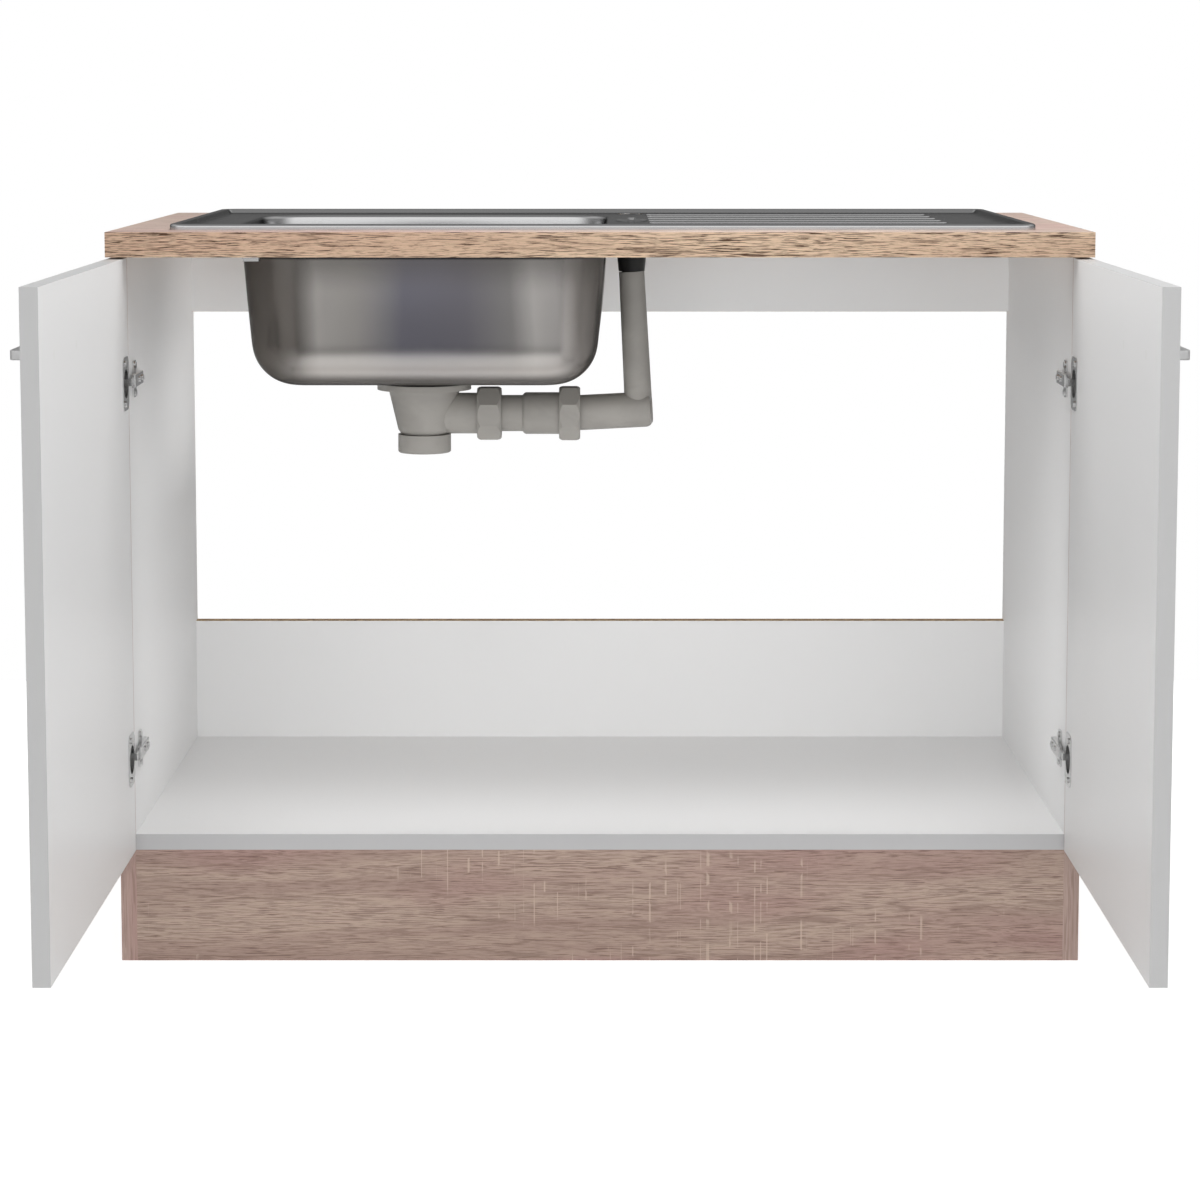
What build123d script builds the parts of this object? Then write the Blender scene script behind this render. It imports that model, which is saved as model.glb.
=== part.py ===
from build123d import *
import os
from math import cos, radians, sin

# A kitchen sink unit: a cupboard with two doors, a worktop with an inset steel sink, the sink's
# strainer waste and its overflow. Millimetres. +Z is up, +Y points to the wall and +X to the right
# as seen from the front. The origin is on the floor, in the middle of the plinth board's foot.
# Both doors stand open at a right angle.

# ---------------------------------------------------------------- boards
unit_width = 1100.0
unit_height = 839.0
worktop_depth = 600.0
worktop_thickness = 28.0
worktop_overhang = 40.0      # in front of the cupboard
board = 18.0                 # sides, bottom, plinth and doors
rail_board = 16.0            # back rail and lower back board
edging = 1.0                 # edge strips
plinth_height = 130.0
back_rail_height = 100.0
back_board_height = 155.0

half_width = unit_width / 2
inner_x = half_width - board
front_y = -board / 2
back_y = front_y + worktop_depth - worktop_overhang
worktop_front_y = front_y - worktop_overhang
underside_z = unit_height - worktop_thickness
floor_z = plinth_height + board
rail_front_y = back_y - rail_board

# ---------------------------------------------------------------- board fittings
cam_radius = 7.5
cam_setback = 24.0           # from the board's end to the cam's centre
cam_below = 4.5              # how far the cam goes past the bolt's axis
cam_slot = (9.0, 1.4, 1.5)   # length, width and depth of the cross slot
bolt_radius = 3.0
bolt_head_radius = 3.8
bolt_head_length = 3.0
bolt_grip = 11.0             # into the side
bolt_channel_radius = 4.2
dowel_radius = 4.0
dowel_in_side = 12.0
dowel_in_board = 18.0
hole_spare = 1.0             # depth of a blind hole past what it holds

bracket_leg = 22.0
bracket_plate = 2.0
bracket_width = 18.0
bracket_screw_at = 14.0      # from the bracket's corner
bracket_screw_grip = 12.0
wood_screw_radius = 1.75
wood_screw_head_radius = 3.5
wood_screw_head = 1.8
side_bracket_setback = 150.0 # from the cupboard's back
side_bracket_y = back_y - side_bracket_setback
rail_bracket_x = 0.55 * inner_x
bottom_cam_setbacks = (55.0, 75.0)   # from the cupboard's front and back
bottom_dowel_pitch = 32.0    # from a cam to its dowel
dowel_spread = 30.0          # of a narrow board's dowels, from its cam
top_dowel_setback = 70.0     # from the cupboard's front and back

# ---------------------------------------------------------------- sink
sink_side_gap = 60.0         # from the worktop's side edges, on average
sink_rear_gap = 51.0         # from the worktop's rear edge
sink_x = 3.0                 # middle of the sink
sink_setback = 49.0          # from the worktop's front edge
steel = 1.0
rim_height = 7.0
rim_width = 13.0
rim_corner = 22.0
rim_round = 4.0
rim_inner_round = 2.0
deck_drop = 5.0              # from the top of the rim
bowl_width = 426.0
bowl_drop = 186.0
bowl_draft = 4.5             # degrees
bowl_corner = 75.0
bowl_floor_round = 50.0
bowl_mouth_round = 8.0
bowl_left_gap = 69.5         # from the sink's left edge
bowl_front_gap = 45.0        # from the sink's front edge
bowl_rear_gap = 85.0         # from the sink's rear edge
waste_offset = 7.5           # to the left of the bowl's middle
waste_seat_radius = 60.0
waste_seat_drop = 3.0
waste_hole_radius = 45.0
rib_count = 6
rib_spread = 0.63            # of the sink's depth, from the first rib to the last
rib_left_gap = 20.0          # from the overflow's middle
rib_right_gap = 85.0         # from the sink's right edge
rib_width = 16.0
rib_height = 2.5
tap_hole_radius = 17.5
tap_hole_setback = 45.0      # from the sink's rear edge
overflow_gap = 29.5          # from the bowl's right edge to the overflow's middle
overflow_hole_radius = 15.0
seal_outset = 4.0            # rim seal, from the sink's edge
seal_width = 6.0
cutout_margin = 12.0         # from the sink's edge to the cut-out

sink_width = unit_width - 2 * sink_side_gap
sink_depth = worktop_depth - sink_setback - sink_rear_gap
sink_left_x = sink_x - sink_width / 2
sink_right_x = sink_x + sink_width / 2
bowl_depth = sink_depth - bowl_front_gap - bowl_rear_gap
bowl_x = sink_left_x + bowl_left_gap + bowl_width / 2
bowl_right_x = bowl_x + bowl_width / 2
waste_x = bowl_x - waste_offset
overflow_x = bowl_right_x + overflow_gap
rib_pitch = rib_spread * sink_depth / (rib_count - 1)
rib_length = sink_right_x - rib_right_gap - (overflow_x + rib_left_gap)
rib_x = overflow_x + rib_left_gap + rib_length / 2
rib_round = 0.88 * rib_height
sink_front_y = worktop_front_y + sink_setback
sink_y = sink_front_y + sink_depth / 2
rim_top_z = unit_height + rim_height
deck_z = rim_top_z - deck_drop
deck_under_z = deck_z - steel
bowl_y = sink_front_y + bowl_front_gap + bowl_depth / 2
bowl_floor_z = deck_z - bowl_drop
waste_y = bowl_y
seat_z = bowl_floor_z - waste_seat_drop
tap_hole_y = sink_front_y + sink_depth - tap_hole_setback
cutout_left_x = sink_left_x + cutout_margin
cutout_right_x = sink_right_x - cutout_margin
cutout_front_y = sink_front_y + cutout_margin
cutout_back_y = sink_front_y + sink_depth - cutout_margin

# sink fixings
anchor_gap = 5.0             # from the cut-out's edge
anchor_plate = 1.5
anchor_drop = 25.0
claw_plate = 2.0
claw_width = 18.0
claw_reach = 10.0            # under the worktop
claw_jaw = 5.0
claw_leg = 30.0
claw_screw_radius = 2.5
claw_screw_head_radius = 4.5
claw_screw_head = 3.0
claw_screw_drop = 16.0       # below the deck
front_claw_x = bowl_x - 0.445 * bowl_width

# ---------------------------------------------------------------- strainer and waste
flange_radius = 56.0
flange_plate = 1.5
strainer_seal = 1.0
cup_top_radius = 40.0
cup_floor_radius = 32.0
cup_drop = 41.0              # from the seal to the cup's floor
cup_wall = 1.0
cup_drain_holes = 12
cup_drain_radius = 2.5
cup_drain_circle = 20.0
screw_radius = 3.0
screw_head_radius = 5.0
screw_head = 3.0
basket_rim_radius = 42.0
basket_top_radius = 37.0
basket_floor_radius = 30.0
basket_sheet = 1.0
basket_lift = 5.0            # basket floor above the cup's floor
basket_rest = 0.1            # between the basket's rim and the flange
basket_hole_radius = 2.0
knob_radius = 9.0
knob_height = 6.0
stem_radius = 3.0
plug_seal = 1.2
plug_seal_radii = (8.0, 28.0)

gasket_radii = (44.0, 53.5)
gasket_height = 5.5
body_flange_radius = 56.5
body_flange = 7.0
body_top_radius = 43.0
body_bottom_radius = 31.6
body_drop = 53.0             # of the cone below the flange
body_wall = 2.5
body_floor = 4.0
boss_radius = 7.0
boss_height = 18.0
web_thickness = 3.0
web_height = 9.0
web_count = 3
spigot_radius = 24.0
spigot_length = 19.5
outlet_bore_radius = 20.2
outlet_socket = 14.0
outlet_throat_radius = 18.0
thread_play = 0.1
nut_lip = 3.0
nut_chamfer = 4.5            # length of the turned-down corners
nut_end_step = 1.0           # of the end faces inside the flats
outlet_nut_radius = 31.85
outlet_nut_height = 22.0
outlet_washer = 1.0

branch_drop = 43.0           # of the branch's axis below the waste seat
branch_radius = 24.65
branch_bore = 19.0
branch_reach = 64.0          # of the thick part, from the waste's axis
branch_spigot_radius = 24.0
branch_nut_radius = 31.1
branch_nut_length = 29.0
branch_spigot_length = 14.0
washer_length = 5.0
coupling_radius = 21.85
coupling_bore = 18.5
coupling_length = 25.5       # free length of the thin part
socket_radius = 25.2
socket_length = 44.0
socket_bore = 22.8
socket_bore_depth = 24.0
elbow_spigot_radius = 24.6
elbow_spigot_length = 12.0
elbow_nut_radius = 31.6
elbow_nut_length = 25.5
elbow_lip_bore = 22.6

pipe_radius = 21.25
pipe_bore = 18.5
pipe_insert = 22.0           # inside the socket
pipe_tilt = 3.0              # degrees, rising to the right
pipe_end_round = 9.0
riser_foot_radius = 16.7
riser_top_radius = 15.3
riser_wall = 2.1
riser_top_drop = 60.0        # of the riser's top below the deck
connector_stub_radius = 11.9
connector_stub = 14.0
connector_shoulder_radius = 15.6
connector_body_radius = 17.5
connector_flare = 18.0
connector_flange_radius = 20.0
connector_flange = 4.0
connector_bore = 9.0
bridge_width = 8.0
bridge_height = 10.0
bridge_drop = 6.0
rosette_radius = 19.0
rosette_plate = 1.6
rosette_slots = 8
rosette_screw_radius = 2.5
rosette_screw_head_radius = 4.5
rosette_screw_head = 2.0

# ---------------------------------------------------------------- doors, handles and hinges
door_inset = 1.0             # of the closed door from the cupboard's side
door_middle_gap = 4.0
door_top_gap = 2.0
door_gap = 3.5               # behind the closed door
pivot_inset = 8.5            # from the door's hinge edge
pivot_depth = 9.0            # below the door's inner face
door_width = half_width - door_inset - door_middle_gap / 2
door_low_z = plinth_height
door_high_z = underside_z - door_top_gap
pivot_x = -(half_width - door_inset - pivot_inset)
pivot_y = front_y - door_gap - pivot_depth
door_face_x = pivot_x + pivot_depth
door_edge_y = pivot_y + pivot_inset
door_free_y = door_edge_y - door_width

handle_length = 138.0
handle_height = 10.0
handle_projection = 25.0
handle_bar = 7.0
handle_leg = 10.0
handle_round = 6.0
handle_setback = 76.0        # from the door's free edge
handle_drop = 71.0           # from the door's top to the handle's middle
handle_screw_radius = 2.0
handle_screw_play = 0.2
handle_screw_grip = 9.0
handle_screw_head_radius = 3.8
handle_screw_head = 2.2
cap_radius = 5.0
cap_thickness = 0.9
handle_z = door_high_z - handle_drop

hinge_above_door_foot = 111.0
hinge_below_door_top = 140.0
cup_radius = 17.5
hinge_cup_depth = 12.0
hinge_cup_wall = 1.2
hinge_cup_floor = 0.8
cup_bore_spare = 0.5
cup_inset = 5.0              # from the door's edge to the cup
cup_flange = (42.0, 60.0, 11.0)   # across the door, upright, corner radius
cup_flange_plate = 1.0
cup_screw_pitch = 45.0
cup_screw_offset = 6.0
cup_screw_grip = 12.0
pin_radius = 1.25
pin_play = 0.05
pin_half_length = 7.6
cheek = (5.7, 11.5, 6.6)     # from the door's edge, and the cheek's top below the inner face
cheek_half_height = 9.0
knuckle_radius = 2.5
knuckle_width = 8.0
knuckle_clearance = 0.3
arm_plate = 2.0
arm_offset = 3.0             # of the arm from the side
arm_width = 15.0
arm_thickness = 4.5
arm_body_start = 4.0         # behind the cupboard's front
arm_body_end = 64.0
plate_thickness = 1.8
plate_height = 42.0
plate_span = (27.0, 47.0)
plate_rail_width = 12.0
plate_rail_span = (22.0, 73.0)
plate_screw_line = 37.0
plate_screw_pitch = 32.0
plate_screw_radius = 2.5
plate_screw_head_radius = 3.6
plate_screw_head = 1.8
adjust_screw_radius = 2.0
adjust_screw_head_radius = 3.2
adjust_screw_head = 1.5
adjust_screw_lines = (34.0, 56.0)
cup_centre = cup_inset + cup_radius
hinge_heights = (door_low_z + hinge_above_door_foot, door_high_z - hinge_below_door_top)

UP = Vector(0, 0, 1)
DOWN = Vector(0, 0, -1)
REAR = Vector(0, 1, 0)
SIDES = (-1, 1)


# ---------------------------------------------------------------- helpers
def block(low, high):
    """Box between its lowest and highest corners."""
    size = [b - a for a, b in zip(low, high)]
    centre = [(a + b) / 2 for a, b in zip(low, high)]
    return Pos(*centre) * Box(*size)


def rod(radius, start, end, end_radius=None):
    """Round bar between two points, or a cone where a second radius is given."""
    start, end = Vector(*start), Vector(*end)
    along = end - start
    foot = (Align.CENTER, Align.CENTER, Align.MIN)
    if end_radius is None:
        bar = Cylinder(radius, along.length, align=foot)
    else:
        bar = Cone(radius, end_radius, along.length, align=foot)
    return Plane(origin=start, z_dir=along) * bar


def turned(points):
    """Solid of revolution about the Z axis. Each point is a radius and a height."""
    outline = make_face(Polyline(*points, close=True))
    return revolve(Plane.XZ * outline, Axis.Z)


def upright(points, x, y):
    """Turned piece standing at x, y."""
    return Pos(x, y, 0) * turned(points)


def along_branch(points):
    """Turned piece on the branch's axis. Each point is a radius and a distance from the waste."""
    return Pos(waste_x, waste_y, branch_z) * Rot(0, 90, 0) * turned(points)


def rounded_block(x, y, width, depth, corner, low, high):
    """Upright block with rounded corners."""
    return extrude(Pos(x, y, low) * RectangleRounded(width, depth, corner), high - low)


def ring(count, radius):
    """Points spread evenly round a circle."""
    return [
        (radius * cos(radians(360 * i / count)), radius * sin(radians(360 * i / count)))
        for i in range(count)
    ]


def mirrored(piece):
    """The same piece for the right hand side."""
    return mirror(piece, about=Plane.YZ)


def save(name, *pieces):
    """Writes one sub-part, which may be a group of separate solids."""
    solids = [solid for piece in pieces for solid in piece.solids()]
    shape = solids[0] if len(solids) == 1 else Compound(solids)
    export_step(shape, f"parts/{name}.step")


# ---------------------------------------------------------------- board fittings
class Joint:
    """A cam, its bolt and two dowels in the end of one board, on both sides of the cupboard."""

    def __init__(self, thickness, out, cams, dowels):
        self.thickness = thickness
        self.out = out
        self.cams = cams
        self.dowels = dowels

    def cam_solids(self):
        """The cams, each with its pocket for the bolt and a cross slot."""
        cams = []
        for side in SIDES:
            for y, z in self.cams:
                centre = Vector(side * (inner_x - cam_setback), y, z)
                face = centre + self.out * (self.thickness / 2)
                cam = rod(cam_radius, centre - self.out * cam_below, face)
                cam -= rod(
                    bolt_channel_radius,
                    centre + Vector(side * (cam_radius + 1), 0, 0),
                    centre - Vector(side * bolt_channel_radius, 0, 0),
                )
                length, width, depth = cam_slot
                for turn in (0, 90):
                    slot = Rot(0, 0, turn) * Box(length, width, 2 * depth)
                    cam -= Plane(origin=face, z_dir=self.out) * slot
                cams.append(cam)
        return cams

    def bolt_solids(self):
        """The bolts, from inside the side to the middle of the cam."""
        bolts = []
        for side in SIDES:
            for y, z in self.cams:
                end = Vector(side * (inner_x - cam_setback), y, z)
                start = Vector(side * (inner_x + bolt_grip), y, z)
                head = Vector(side * bolt_head_length, 0, 0)
                bolts.append(rod(bolt_radius, start, end) + rod(bolt_head_radius, end + head, end))
        return bolts

    def dowel_solids(self, spare=0):
        """The dowels. With a spare length they are the holes for them."""
        return [
            rod(
                dowel_radius,
                (side * (inner_x + dowel_in_side + spare), y, z),
                (side * (inner_x - dowel_in_board - spare), y, z),
            )
            for side in SIDES
            for y, z in self.dowels
        ]

    def board_cuts(self):
        """What is drilled out of the board."""
        cuts = self.dowel_solids(hole_spare)
        for side in SIDES:
            for y, z in self.cams:
                centre = Vector(side * (inner_x - cam_setback), y, z)
                face = centre + self.out * (self.thickness / 2 + 1)
                cuts.append(rod(cam_radius, centre - self.out * cam_below, face))
                end = Vector(side * (inner_x + 1), y, z)
                cuts.append(rod(bolt_channel_radius, centre, end))
        return cuts

    def side_cuts(self, side):
        """What is drilled out of one side."""
        cuts = [
            rod(bolt_radius, (side * inner_x, y, z), (side * (inner_x + bolt_grip + hole_spare), y, z))
            for y, z in self.cams
        ]
        reach = inner_x + dowel_in_side + hole_spare
        cuts += [
            rod(dowel_radius, (side * inner_x, y, z), (side * reach, y, z)) for y, z in self.dowels
        ]
        return cuts


def make_joints():
    """The joints of the four boards that stand between the sides."""
    bottom_z = plinth_height + board / 2
    bottom_ys = [front_y + bottom_cam_setbacks[0], back_y - bottom_cam_setbacks[1]]
    rail_y = back_y - rail_board / 2
    rail_z = underside_z - back_rail_height / 2
    back_z = floor_z + back_board_height / 2
    plinth_z = plinth_height / 2
    spread = min(dowel_spread, 0.3 * back_rail_height)
    return {
        "bottom": Joint(
            board, DOWN, [(y, bottom_z) for y in bottom_ys], [(y + bottom_dowel_pitch, bottom_z) for y in bottom_ys]
        ),
        "rail": Joint(
            rail_board, REAR, [(rail_y, rail_z)], [(rail_y, rail_z + d) for d in (-spread, spread)]
        ),
        "back": Joint(
            rail_board, REAR, [(rail_y, back_z)], [(rail_y, back_z + d) for d in (-spread, spread)]
        ),
        "plinth": Joint(
            board, REAR, [(0, plinth_z)], [(0, plinth_z + d) for d in (-spread, spread)]
        ),
    }


def worktop_dowels(spare=0):
    """Upright dowels between the sides and the worktop."""
    x = half_width - board / 2
    return [
        rod(
            dowel_radius,
            (side * x, y, underside_z - dowel_in_board - spare),
            (side * x, y, underside_z + dowel_in_side + spare),
        )
        for side in SIDES
        for y in (front_y + top_dowel_setback, back_y - top_dowel_setback)
    ]


def bracket_places():
    """Where the worktop's angle brackets sit: their corner, and their turn about Z."""
    places = [Pos(-inner_x, side_bracket_y, underside_z), Pos(inner_x, side_bracket_y, underside_z)]
    turns = [0, 180]
    for side in SIDES:
        places.append(Pos(side * rail_bracket_x, rail_front_y, underside_z))
        turns.append(-90)
    return [place * Rot(0, 0, turn) for place, turn in zip(places, turns)]


def bracket():
    """Angle bracket: one leg down the board at x = 0, the other under the worktop at z = 0."""
    half = bracket_width / 2
    angle = block((0, -half, -bracket_leg), (bracket_plate, half, 0))
    angle += block((0, -half, -bracket_plate), (bracket_leg, half, 0))
    angle -= rod(wood_screw_radius, (-1, 0, -bracket_screw_at), (bracket_leg, 0, -bracket_screw_at))
    return angle - rod(wood_screw_radius, (bracket_screw_at, 0, -bracket_leg), (bracket_screw_at, 0, 1))


def bracket_screw_pair(spare=0):
    """The bracket's two wood screws. With a spare length they also cut the holes."""
    at = bracket_screw_at
    grip = bracket_screw_grip + spare
    head = bracket_plate + wood_screw_head
    level = rod(wood_screw_radius, (-grip, 0, -at), (bracket_plate, 0, -at))
    level += rod(wood_screw_head_radius, (bracket_plate, 0, -at), (head, 0, -at))
    rising = rod(wood_screw_radius, (at, 0, -bracket_plate), (at, 0, grip))
    rising += rod(wood_screw_head_radius, (at, 0, -head), (at, 0, -bracket_plate))
    return level + rising


# ---------------------------------------------------------------- cupboard
def side_panel(side, joints):
    """One side, drilled for its joints, its hinges and the worktop."""
    low_x, high_x = sorted((side * inner_x, side * half_width))
    panel = block((low_x, front_y + edging, 0), (high_x, back_y, underside_z))
    for joint in joints.values():
        for cut in joint.side_cuts(side):
            panel -= cut
    for cut in worktop_dowels(hole_spare):
        panel -= cut
    for place in bracket_places():
        panel -= place * bracket_screw_pair(hole_spare)
    for hinge_z in hinge_heights:
        for cut in plate_screw_cuts(hinge_z):
            panel -= cut if side < 0 else mirrored(cut)
    return panel


def side_edgings():
    """Strips on the sides' front edges."""
    strips = []
    for side in SIDES:
        low_x, high_x = sorted((side * inner_x, side * half_width))
        strips.append(block((low_x, front_y, 0), (high_x, front_y + edging, underside_z)))
    return strips


def drilled(panel, joint):
    """A board with its joint's holes."""
    for cut in joint.board_cuts():
        panel -= cut
    return panel


def bottom_panel(joint):
    panel = block((-inner_x, front_y + edging, plinth_height), (inner_x, back_y, floor_z))
    return drilled(panel, joint)


def bottom_edging():
    return block((-inner_x, front_y, plinth_height), (inner_x, front_y + edging, floor_z))


def back_rail(joint):
    low_z = underside_z - back_rail_height
    panel = drilled(block((-inner_x, rail_front_y, low_z), (inner_x, back_y, underside_z)), joint)
    for place in bracket_places():
        panel -= place * bracket_screw_pair(hole_spare)
    return panel


def back_board(joint):
    high_z = floor_z + back_board_height
    return drilled(block((-inner_x, rail_front_y, floor_z), (inner_x, back_y, high_z)), joint)


def plinth(joint):
    return drilled(block((-inner_x, front_y, 0), (inner_x, -front_y, plinth_height)), joint)


def worktop():
    """Worktop core with the sink's cut-out, inside its edge strips."""
    top = block(
        (-half_width + edging, worktop_front_y + edging, underside_z),
        (half_width - edging, back_y, unit_height),
    )
    width = cutout_right_x - cutout_left_x
    depth = cutout_back_y - cutout_front_y
    corner = rim_corner - cutout_margin
    top -= rounded_block(sink_x, sink_y, width, depth, corner, underside_z - 1, unit_height + 1)
    for cut in worktop_dowels(hole_spare):
        top -= cut
    for place in bracket_places():
        top -= place * bracket_screw_pair(hole_spare)
    return top


def worktop_front_edging():
    return block(
        (-half_width, worktop_front_y, underside_z),
        (half_width, worktop_front_y + edging, unit_height),
    )


def worktop_side_edgings():
    strips = []
    for side in SIDES:
        low_x, high_x = sorted((side * half_width, side * (half_width - edging)))
        low = (low_x, worktop_front_y + edging, underside_z)
        strips.append(block(low, (high_x, back_y, unit_height)))
    return strips


# ---------------------------------------------------------------- sink
def rim_block(inset):
    """The rim as a full block, its skin moved inwards by inset."""
    high_z = rim_top_z - inset
    rim = rounded_block(
        sink_x, sink_y, sink_width - 2 * inset, sink_depth - 2 * inset, rim_corner - inset,
        unit_height, high_z,
    )
    return fillet(rim.edges().group_by(Axis.Z)[-1], rim_round - inset)


def bowl(outset):
    """The bowl's hollow with its sunk waste seat, its skin moved outwards by outset."""
    mouth = RectangleRounded(bowl_width + 2 * outset, bowl_depth + 2 * outset, bowl_corner + outset)
    plane = Plane(origin=(bowl_x, bowl_y, deck_z), x_dir=(1, 0, 0), z_dir=(0, 0, -1))
    hollow = extrude(plane * mouth, bowl_drop + outset, taper=bowl_draft)
    hollow = fillet(hollow.edges().group_by(Axis.Z)[0], bowl_floor_round + outset)
    seat_low = (waste_x, waste_y, seat_z - outset)
    return hollow + rod(waste_seat_radius + outset, seat_low, (waste_x, waste_y, bowl_floor_z + 1))


def sink_hollow(outset):
    """Everything open above the steel: the sunk deck and the bowl, joined by a rounded mouth."""
    width = sink_width - 2 * rim_width + 2 * outset
    depth = sink_depth - 2 * rim_width + 2 * outset
    low_z = deck_z - outset
    high_z = rim_top_z + 1 - 2 * outset
    deck = rounded_block(sink_x, sink_y, width, depth, rim_corner - rim_width + outset, low_z, high_z)
    hollow = deck + bowl(outset)
    mouth = [
        edge
        for edge in hollow.edges().filter_by_position(Axis.Z, low_z - 0.01, low_z + 0.01)
        if abs(edge.center().X - bowl_x) < bowl_width / 2 + 5
        and abs(edge.center().Y - bowl_y) < bowl_depth / 2 + 5
    ]
    return fillet(mouth, bowl_mouth_round - outset)


def drainer_ribs(inset):
    """Raised ribs of the drainer, their skin moved inwards by inset."""
    first_y = sink_y - rib_pitch * (rib_count - 1) / 2
    ribs = []
    for i in range(rib_count):
        shape = SlotOverall(rib_length - 2 * inset, rib_width - 2 * inset)
        low_z = deck_z - (2 * steel if inset else steel / 2)
        rib = extrude(Pos(rib_x, first_y + i * rib_pitch, low_z) * shape, deck_z + rib_height - inset - low_z)
        ribs.append(fillet(rib.edges().group_by(Axis.Z)[-1], rib_round - inset))
    return ribs


def sink_pressing():
    """One sheet of steel: rim, sunk deck, ribs and bowl, with its three holes."""
    outer = sink_hollow(steel)
    sheet = rim_block(0) + outer - sink_hollow(0) - (rim_block(steel) - outer)
    inner_edge = [
        edge
        for edge in sheet.edges().filter_by_position(Axis.Z, rim_top_z - 0.01, rim_top_z + 0.01)
        if abs(edge.center().X - sink_x) <= sink_width / 2 - rim_width + 0.5
        and abs(edge.center().Y - sink_y) <= sink_depth / 2 - rim_width + 0.5
    ]
    sheet = fillet(inner_edge, rim_inner_round)
    for rib in drainer_ribs(0):
        sheet += rib
    for rib in drainer_ribs(steel):
        sheet -= rib
    for x, y, radius in (
        (overflow_x, tap_hole_y, tap_hole_radius),
        (overflow_x, waste_y, overflow_hole_radius),
    ):
        sheet -= rod(radius, (x, y, deck_z - 5), (x, y, deck_z + 5))
    return sheet - rod(waste_hole_radius, (waste_x, waste_y, seat_z - 5), (waste_x, waste_y, seat_z + 5))


def rim_seal():
    """Foam strip under the rim."""
    high_z = rim_top_z - steel
    loops = []
    for outset in (seal_outset, seal_outset + seal_width):
        loops.append(
            rounded_block(
                sink_x, sink_y, sink_width - 2 * outset, sink_depth - 2 * outset,
                rim_corner - outset, unit_height, high_z,
            )
        )
    return loops[0] - loops[1]


def claw_places():
    """Middle of each sink fixing on the cut-out's edge, turned so that +X points at the worktop."""
    side_ys = (sink_y - 0.26 * sink_depth, sink_y + 0.26 * sink_depth)
    rear_xs = (front_claw_x, -0.12 * sink_width, 0.36 * sink_width)
    places = [Pos(front_claw_x, cutout_front_y, 0) * Rot(0, 0, -90)]
    places += [Pos(cutout_left_x, y, 0) * Rot(0, 0, 180) for y in side_ys]
    places += [Pos(cutout_right_x, y, 0) for y in side_ys]
    places += [Pos(x, cutout_back_y, 0) * Rot(0, 0, 90) for x in rear_xs]
    return places


def anchor_tab():
    """Tab welded under the deck, with the claw screw's thread."""
    half = claw_width / 2 - 2
    low_z = deck_under_z - anchor_drop
    tab = block((-anchor_gap - anchor_plate, -half, low_z), (-anchor_gap, half, deck_under_z))
    screw_z = deck_under_z - claw_screw_drop
    return tab - rod(claw_screw_radius, (-anchor_gap - 5, 0, screw_z), (-anchor_gap + 5, 0, screw_z))


def claw():
    """Bent claw: a leg behind the tab, a foot under the worktop and a jaw against it."""
    half = claw_width / 2
    leg_x = -anchor_gap - anchor_plate
    foot_z = underside_z - claw_jaw - claw_plate
    piece = block((leg_x - claw_plate, -half, foot_z), (leg_x, half, foot_z + claw_leg))
    piece += block((leg_x - claw_plate, -half, foot_z), (claw_reach, half, foot_z + claw_plate))
    piece += block((claw_reach - claw_plate, -half, foot_z), (claw_reach, half, underside_z))
    screw_z = deck_under_z - claw_screw_drop
    return piece - rod(claw_screw_radius, (leg_x - 5, 0, screw_z), (leg_x + 1, 0, screw_z))


def claw_screw():
    """Screw through the claw into the tab."""
    head_x = -anchor_gap - anchor_plate - claw_plate
    screw_z = deck_under_z - claw_screw_drop
    screw = rod(claw_screw_radius, (head_x, 0, screw_z), (-anchor_gap + 2, 0, screw_z))
    screw += rod(claw_screw_head_radius, (head_x - claw_screw_head, 0, screw_z), (head_x, 0, screw_z))
    return screw - block(
        (head_x - claw_screw_head - 1, -0.6, screw_z - 5), (head_x - claw_screw_head + 1.2, 0.6, screw_z + 5)
    )


# ---------------------------------------------------------------- strainer
cup_flange_z = seat_z + strainer_seal
cup_floor_z = cup_flange_z - cup_drop
basket_floor_z = cup_floor_z + basket_lift
basket_rim_z = cup_flange_z + flange_plate + basket_rest


def strainer_seal_ring():
    z = seat_z
    points = [(waste_hole_radius, z), (flange_radius - 2, z), (flange_radius - 2, z + strainer_seal)]
    return upright(points + [(waste_hole_radius, z + strainer_seal)], waste_x, waste_y)


def strainer_cup():
    """Pressed cup with its flange, centre hole and drain holes."""
    top_z = cup_flange_z + flange_plate
    low_z = cup_floor_z - cup_wall
    points = [
        (0, low_z),
        (cup_floor_radius, low_z),
        (cup_top_radius, cup_flange_z),
        (flange_radius, cup_flange_z),
        (flange_radius, cup_flange_z + 0.6),
        (flange_radius - 3, top_z),
        (cup_top_radius - cup_wall, top_z),
        (cup_floor_radius - cup_wall, cup_floor_z),
        (0, cup_floor_z),
    ]
    cup = upright(points, waste_x, waste_y)
    cup -= rod(screw_radius, (waste_x, waste_y, low_z - 1), (waste_x, waste_y, cup_floor_z + 1))
    for x, y in ring(cup_drain_holes, cup_drain_circle):
        low = (waste_x + x, waste_y + y, low_z - 1)
        cup -= rod(cup_drain_radius, low, (waste_x + x, waste_y + y, cup_floor_z + 1))
    return cup


def strainer_screw():
    """Screw that pulls the cup and the body together."""
    low_z = boss_top_z - boss_height + 2
    screw = rod(screw_radius, (waste_x, waste_y, low_z), (waste_x, waste_y, cup_floor_z))
    head_z = cup_floor_z + screw_head
    screw += rod(screw_head_radius, (waste_x, waste_y, cup_floor_z), (waste_x, waste_y, head_z))
    slot = block(
        (waste_x - screw_head_radius - 1, waste_y - 0.7, head_z - 1.2),
        (waste_x + screw_head_radius + 1, waste_y + 0.7, head_z + 1),
    )
    return screw - slot


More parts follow.
